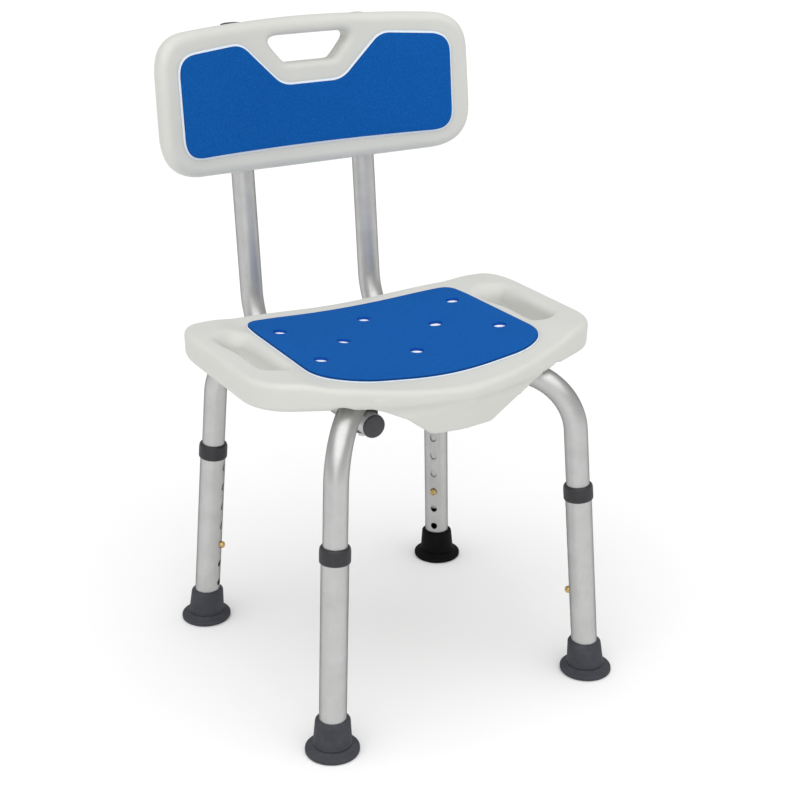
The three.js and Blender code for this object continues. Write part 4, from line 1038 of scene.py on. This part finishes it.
# ----------------------------------------------------------------------- pads
def pad_mesh(outline, holes, place, thick, grid=6.0, crown=0.25, outer=(2.1, 1.25, 1.1)):
    """Sheet with a rounded upper edge. place(x, y, h) gives the 3-D point h above its underside."""
    loops = [np.asarray(outline, float)]
    for hx, hy, hr in holes:
        a = -np.arange(32) * 2 * math.pi / 32
        loops.append(np.stack([hx + hr * np.cos(a), hy + hr * np.sin(a)], 1))
    foot = thick - PAD_PROUD

    def section(edge, lean, pale):
        arc = [(lean + (edge - lean) * (1 - math.cos(t)), thick - edge + lean + (edge - lean) * math.sin(t)) for t in np.linspace(0, math.pi / 2, 5)]
        return [(edge, 0.0), (0.2, 0.0), (0.0, 0.15), (0.0, foot + 0.1), (pale, foot + 0.8), (lean - 0.05, foot + 0.95)] + arc

    # outer edge spreads to a pale foot, a painted light line round the pad; the punched holes are nearly straight
    steps = [section(*outer)] + [section(0.7, 0.2, 0.05)] * len(holes)
    verts, faces, mats = [], [], []
    flat = [inset(P, st[0][0]) for P, st in zip(loops, steps)]
    # triangulated face inside the inset outline
    base = np.vstack(flat)
    offs = np.cumsum([0] + [len(P) for P in flat])
    edges = []
    for k, P in enumerate(flat):
        o = offs[k]
        edges += [(o + i, o + (i + 1) % len(P)) for i in range(len(P))]
    lo, hi = base.min(0), base.max(0)
    gx, gy = np.meshgrid(np.arange(lo[0], hi[0], grid), np.arange(lo[1], hi[1], grid * 0.87))
    gx = gx + (np.arange(gx.shape[0]) % 2)[:, None] * grid / 2
    G = np.stack([gx.ravel(), gy.ravel()], 1)
    d = polygon_distance(G[:, 0], G[:, 1], outline)
    for hx, hy, hr in holes:
        d = np.maximum(d, hr - np.hypot(G[:, 0] - hx, G[:, 1] - hy))
    G = G[d < -4.0]
    # the outline points and the grid points kept 4 mm inside it are triangulated together
    pts = [Vector(p) for p in np.vstack([base, G])]
    res = delaunay_2d_cdt(pts, edges, [], 0, 1e-5)
    exact = np.vstack([base, G])
    source = [o[0] if o else -1 for o in res[3]]
    P2 = np.array([exact[o] if o >= 0 else tuple(p) for o, p in zip(source, res[0])])
    tri = [tuple(t) for t in res[2]]
    c = np.array([P2[list(t)].mean(0) for t in tri])
    d = polygon_distance(c[:, 0], c[:, 1], flat[0])
    for k in range(1, len(flat)):
        d = np.maximum(d, -polygon_distance(c[:, 0], c[:, 1], flat[k]))
    tri = [t for t, q in zip(tri, d) if q < 0]
    used = sorted({i for t in tri for i in t})
    back = {i: k for k, i in enumerate(used)}
    P2 = P2[used]
    tri = [tuple(back[i] for i in t) for t in tri]
    number = {source[i]: back[i] for i in used}
    n = len(P2)
    dd = -polygon_distance(P2[:, 0], P2[:, 1], outline)
    for hx, hy, hr in holes:
        dd = np.minimum(dd, np.hypot(P2[:, 0] - hx, P2[:, 1] - hy) - hr)
    lift = crown * (1 - np.exp(-np.maximum(dd - outer[0], 0) / 9.0))
    verts += list(place(P2[:, 0], P2[:, 1], thick + lift))
    verts += list(place(P2[:, 0], P2[:, 1], np.zeros(n)))
    for t in tri:
        a, b, c3 = (P2[i] for i in t)
        ccw = (b[0] - a[0]) * (c3[1] - a[1]) - (b[1] - a[1]) * (c3[0] - a[0]) > 0
        up = t if ccw else t[::-1]
        faces.append(up)
        mats.append(0)
        faces.append(tuple(i + n for i in up[::-1]))
        mats.append(0)
    for k, P in enumerate(loops):
        m = len(P)
        rows = []
        for q, (off, h) in enumerate(steps[k]):
            if q == 0:
                rows.append([n + number[offs[k] + i] for i in range(m)])
            elif q == len(steps[k]) - 1:
                rows.append([number[offs[k] + i] for i in range(m)])
            else:
                R = inset(P, off)
                start = len(verts)
                verts += list(place(R[:, 0], R[:, 1], np.full(m, h)))
                rows.append(list(range(start, start + m)))
        for q, (a, b) in enumerate(zip(rows, rows[1:])):
            for i in range(m):
                j = (i + 1) % m
                faces.append((a[i], a[j], b[j], b[i]))
                # slot 1 is the pale fringe of painted light, slot 2 the side wall's painted shade, slot 3 the hole
                # walls
                mats.append((1 if q < 4 else 2 if q < 8 else 0) if k == 0 else (3 if q < 7 else 0))
    return np.array(verts, float), faces, mats


def seat_place(x, y, h):
    return np.stack([x, y, dish(x) - PAD_T + h], -1)


v, f, m = pad_mesh(SEAT_PAD, [(x, y, PAD_HOLE_R) for x, y in DRAINS], seat_place, PAD_T)
seat_pad = build("vis_seat_pad", v, f, [PAD, PAD_EDGE_PAINTED_LIGHT, PAD_SIDE_PAINTED_SHADE, PAD_CUT], "frame", ("seat_pad",), 60, m)

# ------------------------------------------------------------------- backrest
BACK = rounded_outline([(0, 75.5, 60), (110, 71.5, 50), (187, 65.5, 40), (189, -82.3, 48), (60, -86.2, 60), (0, -86.7, 30), (-60, -86.2, 60), (-189, -82.3, 48), (-187, 65.5, 40), (-110, 71.5, 50)], 4.0)
BACK_PAD = rounded_outline([(-166, 46.2, 23), (-166, -64.6, 25), (166, -64.6, 25), (166, 46.2, 23), (84.5, 52.8, 12), (36, 5.2, 12), (-36, 5.2, 12), (-84.5, 52.8, 12)], 2.0)
HOLE = rounded_outline([(x, y, 9) for x, y in HANDLE], 1.5)


def mid_surface(x):
    return -(PANEL_MID + PANEL_CURVE * x * x)


def back_field(x, n, v):
    d2 = plan("back", BACK, x, v)
    nn = n - mid_surface(x)
    lean = 1 / np.sqrt(1 + (2 * PANEL_CURVE * x) ** 2)
    f = meet_round(d2, (np.abs(nn) - PANEL_T / 2) * lean, 11.0)
    f = cut_round(f, plan("handle", HOLE, x, v), 7.6)
    f = cut_round(f, np.sqrt((np.abs(x) - BACK_X) ** 2 + n * n) - (FRAME_R + 0.4), 1.2)
    pad2 = plan("back_pad", BACK_PAD, x, v)
    f = cut_round(f, np.maximum(pad2 - 0.35, (nn + PANEL_T / 2 + PAD_PROUD - PAD_T - 0.05) * lean), 0.4)
    vent = np.maximum(np.sqrt(x * x + (v + 72) ** 2) - 3.5, -10.0 - n)
    return cut_round(f, vent, 0.8)


def back_grid(x, v, n):
    """The field with its axes in the order x, v, n."""
    return back_field(x, n, v)


v, f = surface(back_grid, (-196, -93, -70), (196, 80, 0), STEP)
print("backrest shell", len(v), len(f))
v, f = on_panel(v[:, 0], v[:, 2], v[:, 1]), outward(on_panel(v[:, 0], v[:, 2], v[:, 1]), [tuple(q) for q in f])
build("vis_backrest_shell", v, f, SHELL, "frame", ("backrest_shell",), 0)


def back_place(x, v, h):
    return on_panel(x, mid_surface(x) - PANEL_T / 2 - PAD_PROUD + PAD_T - h, v)


v, f, m = pad_mesh(BACK_PAD, [], back_place, PAD_T, outer=(3.2, 2.35, 2.2))
back_pad = build("vis_back_pad", v, f, [PAD, PAD_EDGE_PAINTED_LIGHT, PAD_SIDE_PAINTED_SHADE], "frame", ("back_pad",), 60, m)

# CAD nodes that stay: the inserts, out of sight inside the seat
for name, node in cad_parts.items():
    if node.hide_render:
        continue
    mat = BRASS if name.startswith("seat_insert") else STEEL
    node.data.materials.clear()
    node.data.materials.append(mat)

# ------------------------------------------------------- floor, light, camera
floor_mesh = bpy.data.meshes.new("floor")
floor_mesh.from_pydata([(-25, -25, 0), (25, -25, 0), (25, 25, 0), (-25, 25, 0)], [], [(0, 1, 2, 3)])
floor = bpy.data.objects.new("floor", floor_mesh)
bpy.context.scene.collection.objects.link(floor)
fm = Nodes("floor_pale")
fm.set("Base Color", fm.ramp(fm.noise(3.0, 2.0, 0.5), [(0.3, (0.945, 0.945, 0.945)), (0.7, (0.965, 0.965, 0.965))]))
fm.set("Roughness", fm.span(fm.noise(40.0, 2.0, 0.5), 0.85, 0.95))
fm.set("Specular IOR Level", 0.0)
floor_mesh.materials.append(fm.mat)

scene = bpy.context.scene
scene.view_settings.view_transform = "Standard"
world = bpy.data.worlds.new("studio")
scene.world = world
world.use_nodes = True
world.node_tree.nodes["Background"].inputs["Color"].default_value = (1, 1, 1, 1)
world.node_tree.nodes["Background"].inputs["Strength"].default_value = 0.55


def area(name, pos, target, size, power, colour=(1, 1, 1)):
    data = bpy.data.lights.new(name, "AREA")
    data.shape = "RECTANGLE"
    data.size, data.size_y = size
    data.energy = power
    data.color = colour
    obj = bpy.data.objects.new(name, data)
    scene.collection.objects.link(obj)
    obj.location = pos
    obj.rotation_euler = (Vector(target) - Vector(pos)).to_track_quat("-Z", "Y").to_euler()
    return obj


sun_data = bpy.data.lights.new("overhead", "SUN")
sun_data.energy = 1.9
sun_data.angle = math.radians(88)
sun = bpy.data.objects.new("overhead", sun_data)
scene.collection.objects.link(sun)
sun.rotation_euler = Vector((0.20, 0.34, -0.92)).to_track_quat("-Z", "Y").to_euler()

area("front_softbox", (-1.9, -2.5, 1.15), (0, 0, 0.35), (1.7, 1.7), 5)

cam_data = bpy.data.cameras.new("camera")
cam = bpy.data.objects.new("camera", cam_data)
scene.collection.objects.link(cam)
cam_data.sensor_width = 36.0
cam_data.lens = 1605.52 / 800 * 36.0
az, el, roll = math.radians(-30.1605), math.radians(22.0549), math.radians(0.2316)
back = Vector((math.sin(az) * math.cos(el), -math.cos(az) * math.cos(el), math.sin(el)))
right = (-back).cross(Vector((0, 0, 1))).normalized()
up = right.cross(-back)
r2 = right * math.cos(roll) + up * math.sin(roll)
u2 = -right * math.sin(roll) + up * math.cos(roll)
m4 = Matrix((r2, u2, back)).transposed().to_4x4()
m4.translation = Vector((-0.803608, -1.422425, 0.955815))
cam.matrix_world = m4
scene.camera = cam

bpy.context.view_layer.update()
